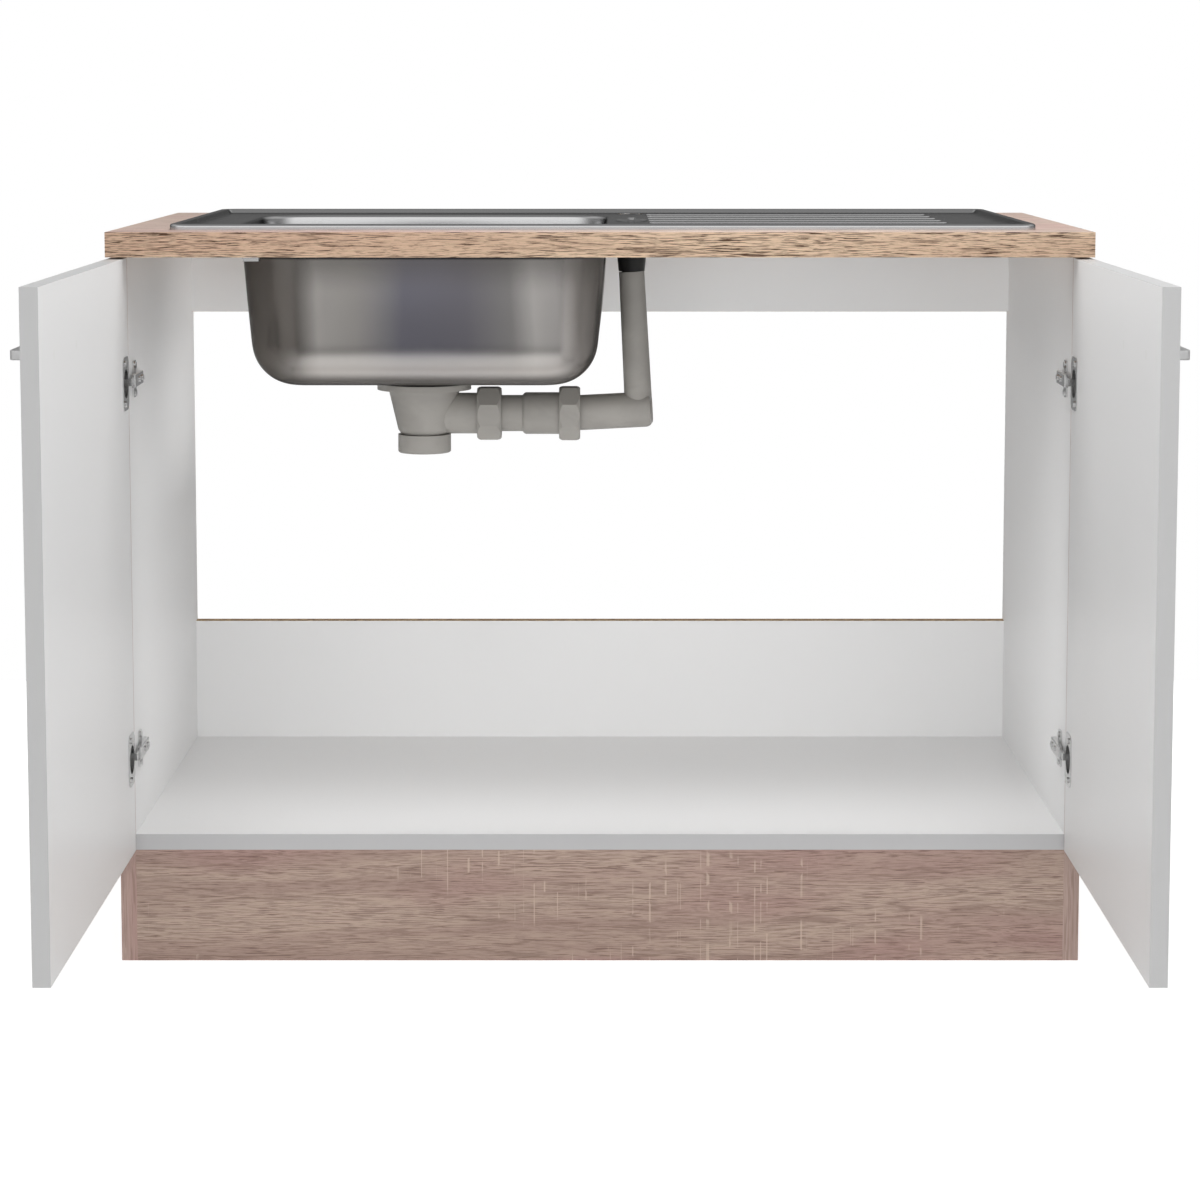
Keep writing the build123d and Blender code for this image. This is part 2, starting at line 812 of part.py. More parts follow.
def strainer_basket():
    """Perforated lift-out basket, hung by its rim."""
    top_z = basket_rim_z + basket_sheet
    low_z = basket_floor_z - basket_sheet
    points = [
        (0, low_z),
        (basket_floor_radius, low_z),
        (basket_top_radius, basket_rim_z),
        (basket_rim_radius, basket_rim_z),
        (basket_rim_radius, top_z),
        (basket_top_radius - basket_sheet, top_z),
        (basket_floor_radius - basket_sheet, basket_floor_z),
        (0, basket_floor_z),
    ]
    basket = upright(points, waste_x, waste_y)
    for x, y in ring(10, 0.5 * basket_floor_radius) + ring(18, 0.82 * basket_floor_radius):
        low = (waste_x + x, waste_y + y, low_z - 1)
        basket -= rod(basket_hole_radius, low, (waste_x + x, waste_y + y, basket_floor_z + 1))
    middle_z = (basket_floor_z + basket_rim_z) / 2
    for x, y in ring(12, basket_rim_radius):
        centre = (waste_x, waste_y, middle_z)
        basket -= rod(basket_hole_radius, centre, (waste_x + x, waste_y + y, middle_z))
    return basket


def basket_knob():
    """Stem and knob for lifting the basket."""
    top_z = basket_rim_z + knob_height
    points = [
        (0, basket_floor_z),
        (2 * stem_radius, basket_floor_z),
        (2 * stem_radius, basket_floor_z + 2),
        (stem_radius, basket_floor_z + 3),
        (stem_radius, basket_rim_z - 3),
        (knob_radius, basket_rim_z),
        (knob_radius, top_z - 1.5),
        (knob_radius - 1.5, top_z),
        (0, top_z),
    ]
    return upright(points, waste_x, waste_y)


def basket_plug_seal():
    """Rubber ring under the basket."""
    high_z = basket_floor_z - basket_sheet
    low_z = high_z - plug_seal
    inner, outer = plug_seal_radii
    return upright([(inner, low_z), (outer, low_z), (outer, high_z), (inner, high_z)], waste_x, waste_y)


# ---------------------------------------------------------------- waste
gasket_top_z = seat_z - steel
flange_top_z = gasket_top_z - gasket_height
cone_top_z = flange_top_z - body_flange
cone_low_z = cone_top_z - body_drop
spigot_low_z = cone_low_z - spigot_length
boss_top_z = cone_low_z + body_floor + boss_height - web_height
nut_low_z = spigot_low_z - outlet_washer - nut_lip
branch_nut_start = branch_reach
branch_nut_end = branch_nut_start + branch_nut_length
branch_tip = branch_nut_start + branch_spigot_length
socket_start = branch_nut_end + coupling_length
socket_end = socket_start + socket_length
elbow_tip = socket_end + elbow_spigot_length
elbow_nut_end = socket_end + elbow_nut_length
branch_z = seat_z - branch_drop
riser_top_z = deck_under_z - riser_top_drop


def waste_gasket():
    inner, outer = gasket_radii
    low_z, high_z = flange_top_z, gasket_top_z
    return upright([(inner, low_z), (outer, low_z), (outer, high_z), (inner, high_z)], waste_x, waste_y)


def waste_body():
    """Strainer body: flange, cone, outlet spigot with its socket, side branch and screw boss."""
    outside = [
        (0, spigot_low_z),
        (spigot_radius, spigot_low_z),
        (spigot_radius, cone_low_z),
        (body_bottom_radius - 3, cone_low_z),
        (body_bottom_radius, cone_low_z + 4),
        (body_top_radius, cone_top_z),
        (body_flange_radius, cone_top_z),
        (body_flange_radius, flange_top_z),
        (0, flange_top_z),
    ]
    cavity_low_z = cone_low_z + body_floor
    cavity = [
        (0, cavity_low_z),
        (body_bottom_radius - body_wall, cavity_low_z),
        (body_top_radius - body_wall, cone_top_z),
        (body_top_radius - body_wall, flange_top_z + 1),
        (0, flange_top_z + 1),
    ]
    axis = [(waste_x, waste_y, z) for z in (spigot_low_z - 1, spigot_low_z + outlet_socket, cavity_low_z + 1)]
    body = upright(outside, waste_x, waste_y)
    body += along_branch([(0, 0), (branch_radius, 0), (branch_radius, branch_reach), (0, branch_reach)])
    body += along_branch([(0, 0), (branch_spigot_radius, 0), (branch_spigot_radius, branch_tip), (0, branch_tip)])
    body -= upright(cavity, waste_x, waste_y)
    body -= rod(outlet_bore_radius, axis[0], axis[1])
    body -= rod(outlet_throat_radius, axis[1], axis[2])
    body -= along_branch([(0, 0), (branch_bore, 0), (branch_bore, branch_tip + 1), (0, branch_tip + 1)])
    return body + screw_spider() - rod(
        screw_radius, (waste_x, waste_y, boss_top_z - boss_height - 1), (waste_x, waste_y, boss_top_z + 1)
    )


def screw_spider():
    """Boss for the centre screw, carried by webs across the outlet's throat."""
    low_z = boss_top_z - boss_height
    boss = rod(boss_radius, (waste_x, waste_y, low_z), (waste_x, waste_y, boss_top_z))
    for i in range(web_count):
        web = block((0, -web_thickness / 2, low_z), (outlet_throat_radius + 2, web_thickness / 2, low_z + web_height))
        boss += Pos(waste_x, waste_y, 0) * Rot(0, 0, 60 + 360 * i / web_count) * web
    return boss


def outlet_nut():
    """Union nut on the outlet spigot."""
    bore = spigot_radius + thread_play
    top_z = nut_low_z + outlet_nut_height
    points = [
        (outlet_bore_radius + 0.3, nut_low_z),
        (outlet_nut_radius - 1.5, nut_low_z),
        (outlet_nut_radius, nut_low_z + 1.5),
        (outlet_nut_radius, top_z),
        (bore, top_z),
        (bore, nut_low_z + nut_lip),
        (outlet_bore_radius + 0.3, nut_low_z + nut_lip),
    ]
    return upright(points, waste_x, waste_y)


def outlet_washer_ring():
    low_z, high_z = nut_low_z + nut_lip, spigot_low_z
    inner, outer = outlet_bore_radius + 0.3, spigot_radius
    return upright([(inner, low_z), (outer, low_z), (outer, high_z), (inner, high_z)], waste_x, waste_y)


def union_nut(start, end, radius, bore, lip_bore):
    """Eight-sided nut on the branch's axis, its corners turned down at both ends. The lip is at its
    far end, and the radius is half of the width across the flats."""
    corner = radius / cos(radians(22.5))
    turned_nut = along_branch(
        [
            (bore, start),
            (radius - nut_end_step, start),
            (corner, start + nut_chamfer),
            (corner, end - nut_chamfer),
            (radius - nut_end_step, end),
            (lip_bore, end),
            (lip_bore, end - nut_lip),
            (bore, end - nut_lip),
        ]
    )
    bar = extrude(RegularPolygon(radius, 8, major_radius=False, rotation=22.5), end + 1)
    return turned_nut & Pos(waste_x, waste_y, branch_z) * Rot(0, 90, 0) * bar


def branch_nut():
    bore = branch_spigot_radius + thread_play
    return union_nut(branch_nut_start, branch_nut_end, branch_nut_radius, bore, coupling_radius + 0.1)


def branch_washer():
    """Seal ring between the branch's spigot and the nut, round the coupling."""
    start, end = branch_tip, branch_tip + washer_length
    inner, outer = coupling_radius, branch_spigot_radius
    return along_branch([(inner, start), (outer, start), (outer - 0.8, end), (inner, end)])


def overflow_coupling():
    """Straight coupling: a thin end for the branch nut, a socket and a spigot for the elbow nut."""
    start = branch_tip + 0.3
    edge = 4.0
    outside = [
        (0, start),
        (coupling_radius, start),
        (coupling_radius, socket_start),
        (socket_radius - 1, socket_start + edge / 2),
        (socket_radius, socket_start + edge),
        (socket_radius, socket_end),
        (elbow_spigot_radius, socket_end),
        (elbow_spigot_radius, elbow_tip),
        (0, elbow_tip),
    ]
    stop = elbow_tip - socket_bore_depth
    bore = [
        (0, start - 1),
        (coupling_bore, start - 1),
        (coupling_bore, stop),
        (socket_bore, stop),
        (socket_bore, elbow_tip + 1),
        (0, elbow_tip + 1),
    ]
    return along_branch(outside) - along_branch(bore)


def elbow_nut():
    bore = elbow_spigot_radius + thread_play
    return union_nut(socket_end + 0.2, elbow_nut_end, elbow_nut_radius, bore, elbow_lip_bore)


def elbow_washer():
    start, end = elbow_tip, elbow_tip + washer_length
    inner, outer = pipe_radius + 0.3, elbow_spigot_radius
    return along_branch([(inner, start), (outer, start), (outer - 0.8, end), (inner, end)])


def pipe_frame():
    """Frame at the middle of the elbow washer, tilted so that the pipe rises to the right."""
    pivot_from_waste = elbow_tip + washer_length / 2
    return Pos(waste_x + pivot_from_waste, waste_y, branch_z) * Rot(0, -pipe_tilt, 0)


def overflow_pipe():
    """Level pipe, closed at its far end, with the tapered riser on it."""
    across = overflow_x - (waste_x + elbow_tip + washer_length / 2)
    up = riser_top_z - branch_z
    tilt = radians(pipe_tilt)
    run = across * cos(tilt) + up * sin(tilt)
    rise = up * cos(tilt) - across * sin(tilt)
    run_end = run + riser_foot_radius
    level = rod(pipe_radius, (-pipe_insert, 0, 0), (run_end, 0, 0))
    level = fillet(level.edges().group_by(Axis.X)[-1], pipe_end_round)
    pipe = level + rod(riser_foot_radius, (run, 0, 0), (run, 0, rise), riser_top_radius)
    pipe -= rod(pipe_bore, (-pipe_insert - 1, 0, 0), (run_end - riser_wall, 0, 0))
    pipe -= rod(riser_foot_radius - riser_wall, (run, 0, 0), (run, 0, rise + 1), riser_top_radius - riser_wall)
    return pipe_frame() * pipe


def overflow_connector():
    """Black funnel between the riser and the overflow hole, with a threaded bridge inside."""
    shoulder_z = riser_top_z + riser_top_radius * sin(radians(pipe_tilt)) + 0.1
    flange_z = deck_under_z - connector_flange
    outside = [
        (0, riser_top_z - connector_stub),
        (connector_stub_radius, riser_top_z - connector_stub),
        (connector_stub_radius, shoulder_z),
        (connector_shoulder_radius, shoulder_z),
        (connector_body_radius, shoulder_z + connector_flare),
        (connector_body_radius, flange_z),
        (connector_flange_radius, flange_z),
        (connector_flange_radius, deck_under_z),
        (0, deck_under_z),
    ]
    bore_top = overflow_hole_radius - 1
    bore = [
        (0, riser_top_z - connector_stub - 1),
        (connector_bore, riser_top_z - connector_stub - 1),
        (connector_bore, shoulder_z + connector_flare),
        (bore_top, flange_z - connector_flange),
        (bore_top, deck_under_z + 1),
        (0, deck_under_z + 1),
    ]
    funnel = upright(outside, overflow_x, waste_y) - upright(bore, overflow_x, waste_y)
    high_z = deck_under_z - bridge_drop
    bridge = block(
        (overflow_x - bore_top - 0.5, waste_y - bridge_width / 2, high_z - bridge_height),
        (overflow_x + bore_top + 0.5, waste_y + bridge_width / 2, high_z),
    )
    low = (overflow_x, waste_y, high_z - bridge_height - 1)
    return funnel + bridge - rod(rosette_screw_radius, low, (overflow_x, waste_y, high_z + 1))


def overflow_rosette():
    """Slotted cover on the overflow hole."""
    top_z = deck_z + rosette_plate
    points = [
        (0, deck_z),
        (rosette_radius, deck_z),
        (rosette_radius, deck_z + 0.6),
        (rosette_radius - 2, top_z),
        (0, top_z),
    ]
    cover = upright(points, overflow_x, waste_y)
    slot = Pos(0.52 * rosette_radius, 0, deck_z) * extrude(SlotOverall(7, 2.4), rosette_plate + 1)
    for i in range(rosette_slots):
        cover -= Pos(overflow_x, waste_y, -0.5) * Rot(0, 0, 360 * (i + 0.5) / rosette_slots) * slot
    return cover - rod(rosette_screw_radius, (overflow_x, waste_y, deck_z - 1), (overflow_x, waste_y, top_z + 1))


def overflow_screw():
    """Screw from the rosette into the connector's bridge."""
    top_z = deck_z + rosette_plate
    low_z = deck_under_z - bridge_drop - bridge_height + 1
    screw = rod(rosette_screw_radius, (overflow_x, waste_y, low_z), (overflow_x, waste_y, top_z))
    head_z = top_z + rosette_screw_head
    screw += rod(rosette_screw_head_radius, (overflow_x, waste_y, top_z), (overflow_x, waste_y, head_z))
    slot = block(
        (overflow_x - 6, waste_y - 0.6, head_z - 1), (overflow_x + 6, waste_y + 0.6, head_z + 1)
    )
    return screw - slot


# ---------------------------------------------------------------- doors, built for the left side
def on_door(from_edge, depth, z):
    """Point on the open left door: distance from its hinge edge, depth below its inner face."""
    return (door_face_x - depth, door_edge_y - from_edge, z)


def handle_ys():
    """The two handle screws along the open door."""
    near = door_free_y + handle_setback + handle_leg / 2
    return (near, near + handle_length - handle_leg)


def cup_screw_places(hinge_z):
    return [
        (cup_centre + cup_screw_offset, hinge_z + side * cup_screw_pitch / 2) for side in SIDES
    ]


def door_panel():
    """Door board, bored for the cups and drilled for the handle."""
    panel = block(
        (door_face_x - board, door_free_y, door_low_z), (door_face_x, door_edge_y, door_high_z)
    )
    for hinge_z in hinge_heights:
        bore_depth = hinge_cup_depth + cup_bore_spare
        panel -= rod(cup_radius, on_door(cup_centre, -1, hinge_z), on_door(cup_centre, bore_depth, hinge_z))
        for u, z in cup_screw_places(hinge_z):
            panel -= rod(wood_screw_radius, on_door(u, -1, z), on_door(u, cup_screw_grip + hole_spare, z))
    recess = cap_thickness + 0.1 + handle_screw_head
    for y in handle_ys():
        u = door_edge_y - y
        panel -= rod(cap_radius, on_door(u, -1, handle_z), on_door(u, recess, handle_z))
        bore = handle_screw_radius + handle_screw_play
        panel -= rod(bore, on_door(u, 0, handle_z), on_door(u, board + 1, handle_z))
    return panel


def handle():
    """Bow handle: a level bar on two legs."""
    outer_x = door_face_x - board
    near_y = door_free_y + handle_setback
    middle = (outer_x - handle_projection / 2, near_y + handle_length / 2)
    bow = Pos(*middle) * Rectangle(handle_projection, handle_length)
    bow = fillet(bow.vertices().group_by(Axis.X)[0], handle_round)
    gap = handle_projection - handle_bar
    window = Pos(outer_x - gap / 2, middle[1]) * Rectangle(gap, handle_length - 2 * handle_leg)
    window = fillet(window.vertices().group_by(Axis.X)[0], handle_round / 2)
    piece = extrude(Pos(0, 0, handle_z - handle_height / 2) * (bow - window), handle_height)
    piece = fillet(piece.edges().filter_by(Axis.Y).group_by(Axis.X)[0], 1.2)
    for y in handle_ys():
        u = door_edge_y - y
        end = board + handle_screw_grip + hole_spare
        piece -= rod(handle_screw_radius, on_door(u, board - 1, handle_z), on_door(u, end, handle_z))
    return piece


def handle_screws():
    """Screws from inside the door into the handle's legs."""
    screws = []
    for y in handle_ys():
        u = door_edge_y - y
        head_low = cap_thickness + 0.1
        head_high = head_low + handle_screw_head
        end = board + handle_screw_grip
        screw = rod(handle_screw_head_radius, on_door(u, head_low, handle_z), on_door(u, head_high, handle_z))
        screws.append(screw + rod(handle_screw_radius, on_door(u, head_high, handle_z), on_door(u, end, handle_z)))
    return screws


def handle_caps():
    """White caps over the screw heads, flush with the door."""
    return [
        rod(cap_radius, on_door(door_edge_y - y, 0, handle_z), on_door(door_edge_y - y, cap_thickness, handle_z))
        for y in handle_ys()
    ]


# ---------------------------------------------------------------- hinges, built for the left side
def hinge_cup(hinge_z):
    """Cup with its screwed flange, relieved round the arm's knuckle and bored for the pin."""
    across, height, corner = cup_flange
    plane = Plane(origin=on_door(cup_centre, 0, hinge_z), x_dir=(0, 1, 0), z_dir=(1, 0, 0))
    plate = extrude(plane * RectangleRounded(across, height, corner), cup_flange_plate)
    cup = rod(cup_radius, on_door(cup_centre, 0, hinge_z), on_door(cup_centre, hinge_cup_depth, hinge_z))
    cavity_low = hinge_cup_depth - hinge_cup_floor
    cup += plate
    cup -= rod(
        cup_radius - hinge_cup_wall, on_door(cup_centre, -cup_flange_plate - 1, hinge_z),
        on_door(cup_centre, cavity_low, hinge_z),
    )
    for u, z in cup_screw_places(hinge_z):
        cup -= rod(wood_screw_radius, on_door(u, -cup_flange_plate - 1, z), on_door(u, 1, z))
    half = knuckle_width / 2 + knuckle_clearance
    relief = rod(
        knuckle_radius + knuckle_clearance, (pivot_x, pivot_y, hinge_z - half), (pivot_x, pivot_y, hinge_z + half)
    )
    return cup + hinge_cheeks(hinge_z) - relief - hinge_pin(hinge_z)


def hinge_cheeks(hinge_z):
    """Two cheeks inside the cup that hold the pin's ends, one above the arm and one below."""
    edge_near, edge_far, top = cheek
    inside = rod(
        cup_radius - hinge_cup_wall / 2, on_door(cup_centre, top, hinge_z),
        on_door(cup_centre, hinge_cup_depth - hinge_cup_floor / 2, hinge_z),
    )
    gap = knuckle_width / 2 + knuckle_clearance
    low = on_door(edge_far, hinge_cup_depth, hinge_z)
    high = on_door(edge_near, top, hinge_z)
    above = block((low[0], low[1], hinge_z + gap), (high[0], high[1], hinge_z + cheek_half_height))
    below = block((low[0], low[1], hinge_z - cheek_half_height), (high[0], high[1], hinge_z - gap))
    return [above & inside, below & inside]


def hinge_pin(hinge_z):
    return rod(
        pin_radius, (pivot_x, pivot_y, hinge_z - pin_half_length), (pivot_x, pivot_y, hinge_z + pin_half_length)
    )


def cup_screws(hinge_z):
    """Wood screws of the cup's flange."""
    screws = []
    for u, z in cup_screw_places(hinge_z):
        top = -cup_flange_plate
        head = rod(wood_screw_head_radius, on_door(u, top - wood_screw_head, z), on_door(u, top, z))
        screws.append(head + rod(wood_screw_radius, on_door(u, top, z), on_door(u, cup_screw_grip, z)))
    return screws


def hinge_arm(hinge_z):
    """Goose-neck arm: knuckle on the pin, a leg out of the cup and a body on the plate's rail."""
    half = knuckle_width / 2
    low_x = -inner_x + arm_offset
    arm = rod(knuckle_radius, (pivot_x, pivot_y, hinge_z - half), (pivot_x, pivot_y, hinge_z + half))
    arm += block(
        (pivot_x, pivot_y - arm_plate / 2, hinge_z - half),
        (low_x + arm_plate, pivot_y + arm_plate / 2, hinge_z + half),
    )
    arm += block(
        (low_x, pivot_y - arm_plate / 2, hinge_z - half),
        (low_x + arm_plate, front_y + arm_body_start + 2, hinge_z + half),
    )
    body = block(
        (low_x, front_y + arm_body_start, hinge_z - arm_width / 2),
        (low_x + arm_thickness, front_y + arm_body_end, hinge_z + arm_width / 2),
    )
    arm += fillet(body.edges().group_by(Axis.X)[-1], 1.5)
    bore = pin_radius + pin_play
    arm -= rod(bore, (pivot_x, pivot_y, hinge_z - half - 1), (pivot_x, pivot_y, hinge_z + half + 1))
    for screw in adjusting_screws(hinge_z):
        arm -= screw
    return arm


def adjusting_screws(hinge_z):
    """Screws through the arm into the plate's rail."""
    top_x = -inner_x + arm_offset + arm_thickness
    screws = []
    for line in adjust_screw_lines:
        y = front_y + line
        screw = rod(adjust_screw_radius, (-inner_x + 0.5, y, hinge_z), (top_x, y, hinge_z))
        head = rod(adjust_screw_head_radius, (top_x, y, hinge_z), (top_x + adjust_screw_head, y, hinge_z))
        slot = block(
            (top_x + adjust_screw_head - 0.8, y - 0.5, hinge_z - 5), (top_x + adjust_screw_head + 1, y + 0.5, hinge_z + 5)
        )
        screws.append(screw + head - slot)
    return screws


def plate_screw_points(hinge_z):
    return [(front_y + plate_screw_line, hinge_z + side * plate_screw_pitch / 2) for side in SIDES]


def mounting_plate(hinge_z):
    """Winged plate on the side, with the rail that the arm lies on."""
    wing_low, wing_high = (front_y + line for line in plate_span)
    rail_low, rail_high = (front_y + line for line in plate_rail_span)
    wing = block(
        (-inner_x, wing_low, hinge_z - plate_height / 2),
        (-inner_x + plate_thickness, wing_high, hinge_z + plate_height / 2),
    )
    wing = fillet(wing.edges().filter_by(Axis.X), 4)
    wing += block(
        (-inner_x, rail_low, hinge_z - plate_rail_width / 2),
        (-inner_x + arm_offset, rail_high, hinge_z + plate_rail_width / 2),
    )
    for y, z in plate_screw_points(hinge_z):
        wing -= rod(plate_screw_radius, (-inner_x - 1, y, z), (-inner_x + plate_thickness + 1, y, z))
    for screw in adjusting_screws(hinge_z):
        wing -= screw
    return wing


def plate_screws(hinge_z, spare=0):
    """Screws of the plate in the side."""
    screws = []
    for y, z in plate_screw_points(hinge_z):
        top_x = -inner_x + plate_thickness
        screw = rod(plate_screw_radius, (-inner_x - bolt_grip - spare, y, z), (top_x, y, z))
        screws.append(screw + rod(plate_screw_head_radius, (top_x, y, z), (top_x + plate_screw_head, y, z)))
    return screws


def plate_screw_cuts(hinge_z):
    return plate_screws(hinge_z, hole_spare)


# ---------------------------------------------------------------- the whole unit
def save_cupboard():
    joints = make_joints()
    save("side_panel_left", side_panel(-1, joints))
    save("side_panel_right", side_panel(1, joints))
    save("side_front_edgings", *side_edgings())
    save("bottom_panel", bottom_panel(joints["bottom"]))
    save("bottom_front_edging", bottom_edging())
    save("back_rail", back_rail(joints["rail"]))
    save("back_board_lower", back_board(joints["back"]))
    save("plinth_board", plinth(joints["plinth"]))
    save("cam_locks", *[cam for joint in joints.values() for cam in joint.cam_solids()])
    save("cam_bolts", *[bolt for joint in joints.values() for bolt in joint.bolt_solids()])
    dowels = [dowel for joint in joints.values() for dowel in joint.dowel_solids()]
    save("wooden_dowels", *dowels, *worktop_dowels())
    save("worktop_board", worktop())
    save("worktop_front_edging", worktop_front_edging())
    save("worktop_side_edgings", *worktop_side_edgings())
    save("worktop_brackets", *[place * bracket() for place in bracket_places()])
    save("bracket_screws", *[place * bracket_screw_pair() for place in bracket_places()])


def save_sink():
    save("sink_pressing", sink_pressing())
    save("sink_rim_seal", rim_seal())
    save("sink_anchor_tabs", *[place * anchor_tab() for place in claw_places()])
    save("sink_claws", *[place * claw() for place in claw_places()])
    save("claw_screws", *[place * claw_screw() for place in claw_places()])
    save("strainer_seal", strainer_seal_ring())
    save("strainer_cup", strainer_cup())
    save("strainer_screw", strainer_screw())
    save("strainer_basket", strainer_basket())
    save("basket_knob", basket_knob())
    save("basket_plug_seal", basket_plug_seal())


def save_waste():
    save("waste_gasket", waste_gasket())
    save("waste_body", waste_body())
    save("outlet_nut", outlet_nut())
    save("outlet_washer", outlet_washer_ring())
    save("branch_nut", branch_nut())
    save("branch_washer", branch_washer())
    save("overflow_coupling", overflow_coupling())
    save("elbow_nut", elbow_nut())
    save("elbow_washer", elbow_washer())
    save("overflow_pipe", overflow_pipe())
    save("overflow_connector", overflow_connector())
    save("overflow_rosette", overflow_rosette())
    save("overflow_screw", overflow_screw())


def save_doors():
    """The left door's pieces and their mirror images."""
    for hand, turn in (("left", lambda piece: piece), ("right", mirrored)):
        save(f"door_{hand}_panel", turn(door_panel()))
        save(f"handle_{hand}", turn(handle()))
        save(f"handle_screws_{hand}", *[turn(screw) for screw in handle_screws()])
        save(f"handle_caps_{hand}", *[turn(cap) for cap in handle_caps()])
        save(f"hinge_cups_{hand}", *[turn(hinge_cup(z)) for z in hinge_heights])
        save(f"hinge_pins_{hand}", *[turn(hinge_pin(z)) for z in hinge_heights])
        save(f"cup_screws_{hand}", *[turn(screw) for z in hinge_heights for screw in cup_screws(z)])
        save(f"hinge_arms_{hand}", *[turn(hinge_arm(z)) for z in hinge_heights])
    both = (lambda piece: piece, mirrored)
    save("mounting_plates", *[turn(mounting_plate(z)) for turn in both for z in hinge_heights])
    save("plate_screws", *[turn(s) for turn in both for z in hinge_heights for s in plate_screws(z)])
    save("adjusting_screws", *[turn(s) for turn in both for z in hinge_heights for s in adjusting_screws(z)])


os.makedirs("parts", exist_ok=True)
save_cupboard()
save_sink()
save_waste()
save_doors()
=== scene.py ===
# %% [markdown]
# # A kitchen sink unit
#
# The unit is a plain cupboard: white boards, an oak-look worktop and plinth, a pressed steel sink
# with its grey plastic waste, and two doors that stand open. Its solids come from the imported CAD
# model, which is loaded first and stays where it is. This file gives every board and fitting its
# finish, and builds the sink again as one smooth sheet, because steel shows every facet.

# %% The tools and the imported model
import math

import bmesh
import bpy
import numpy as np
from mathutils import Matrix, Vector
from mathutils.geometry import delaunay_2d_cdt


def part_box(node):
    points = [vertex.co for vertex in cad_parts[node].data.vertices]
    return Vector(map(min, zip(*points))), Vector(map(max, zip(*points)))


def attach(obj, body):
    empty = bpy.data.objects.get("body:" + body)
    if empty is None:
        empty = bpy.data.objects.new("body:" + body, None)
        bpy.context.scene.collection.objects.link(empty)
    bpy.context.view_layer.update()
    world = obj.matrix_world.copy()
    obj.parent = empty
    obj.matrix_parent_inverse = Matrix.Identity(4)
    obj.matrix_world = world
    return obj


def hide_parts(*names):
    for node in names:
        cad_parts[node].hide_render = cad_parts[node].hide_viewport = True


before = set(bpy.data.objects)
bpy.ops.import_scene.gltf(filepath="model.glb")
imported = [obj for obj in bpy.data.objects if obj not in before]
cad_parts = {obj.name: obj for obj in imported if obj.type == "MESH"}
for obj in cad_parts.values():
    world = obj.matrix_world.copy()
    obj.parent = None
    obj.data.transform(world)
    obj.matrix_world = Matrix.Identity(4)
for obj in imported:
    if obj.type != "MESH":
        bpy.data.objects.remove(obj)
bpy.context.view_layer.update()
mm = 0.001

# %% [markdown]
# ## The camera
#
# The photograph looks straight at the unit from a little above the worktop, through a long lens. A
# view camera would keep the uprights parallel with a large lens shift. The shift here is smaller,
# because the same camera also makes the other views, and a slight tilt downwards does the rest.

# %% Camera
eye = Vector((0.0, -3.4546, 0.9837))
tilt_down = math.radians(5.937)
focal_length = 91.98
film_width = 36.0
lens_shift = -0.15

camera_data = bpy.data.cameras.new("photo_camera")
camera_data.lens = focal_length
camera_data.sensor_width = film_width
camera_data.shift_y = lens_shift
camera = bpy.data.objects.new("photo_camera", camera_data)
camera.location = eye
camera.rotation_euler = (math.radians(90) - tilt_down, 0.0, 0.0)
bpy.context.scene.collection.objects.link(camera)
bpy.context.scene.camera = camera
view_angle = math.degrees(2 * math.atan(film_width / 2 / focal_length))
print("camera height:", round(eye.z, 3), "m, angle of view:", round(view_angle, 1), "degrees")

# %% [markdown]
# ## Shader maths that reads as maths
#
# A procedural finish is a formula on the surface's own coordinates. It could be wired up node by
# node, but nobody can read a formula from that. So a small class wraps one output socket and
# overloads the operators: `1 - mask * 0.5` adds its Math nodes by itself.

# %% One socket
class Link:
    """One output socket, on which arithmetic adds Math nodes to its own node tree."""

    def __init__(self, owner, socket):
        self.owner = owner
        self.socket = socket

    def maths(self, operation, *values):
        return self.owner.node("ShaderNodeMath", {"operation": operation}, dict(enumerate(values)))

    def __add__(self, other):
        return self.maths("ADD", self, other)

    def __sub__(self, other):
        return self.maths("SUBTRACT", self, other)

    def __rsub__(self, other):
        return self.maths("SUBTRACT", other, self)

    def __mul__(self, other):
        return self.maths("MULTIPLY", self, other)

    def __gt__(self, other):
        return self.maths("GREATER_THAN", self, other)

    def __lt__(self, other):
        return self.maths("LESS_THAN", self, other)

    def __abs__(self):
        return self.maths("ABSOLUTE", self)

    __radd__ = __add__
    __rmul__ = __mul__


# %% [markdown]
# ## Node trees and finishes
#
# Every other node comes from one method, which takes the node's type, its settings and what its
# sockets get. The few patterns that all finishes share are short methods on top of it. A material
# and the world are both node trees, so they share this class.

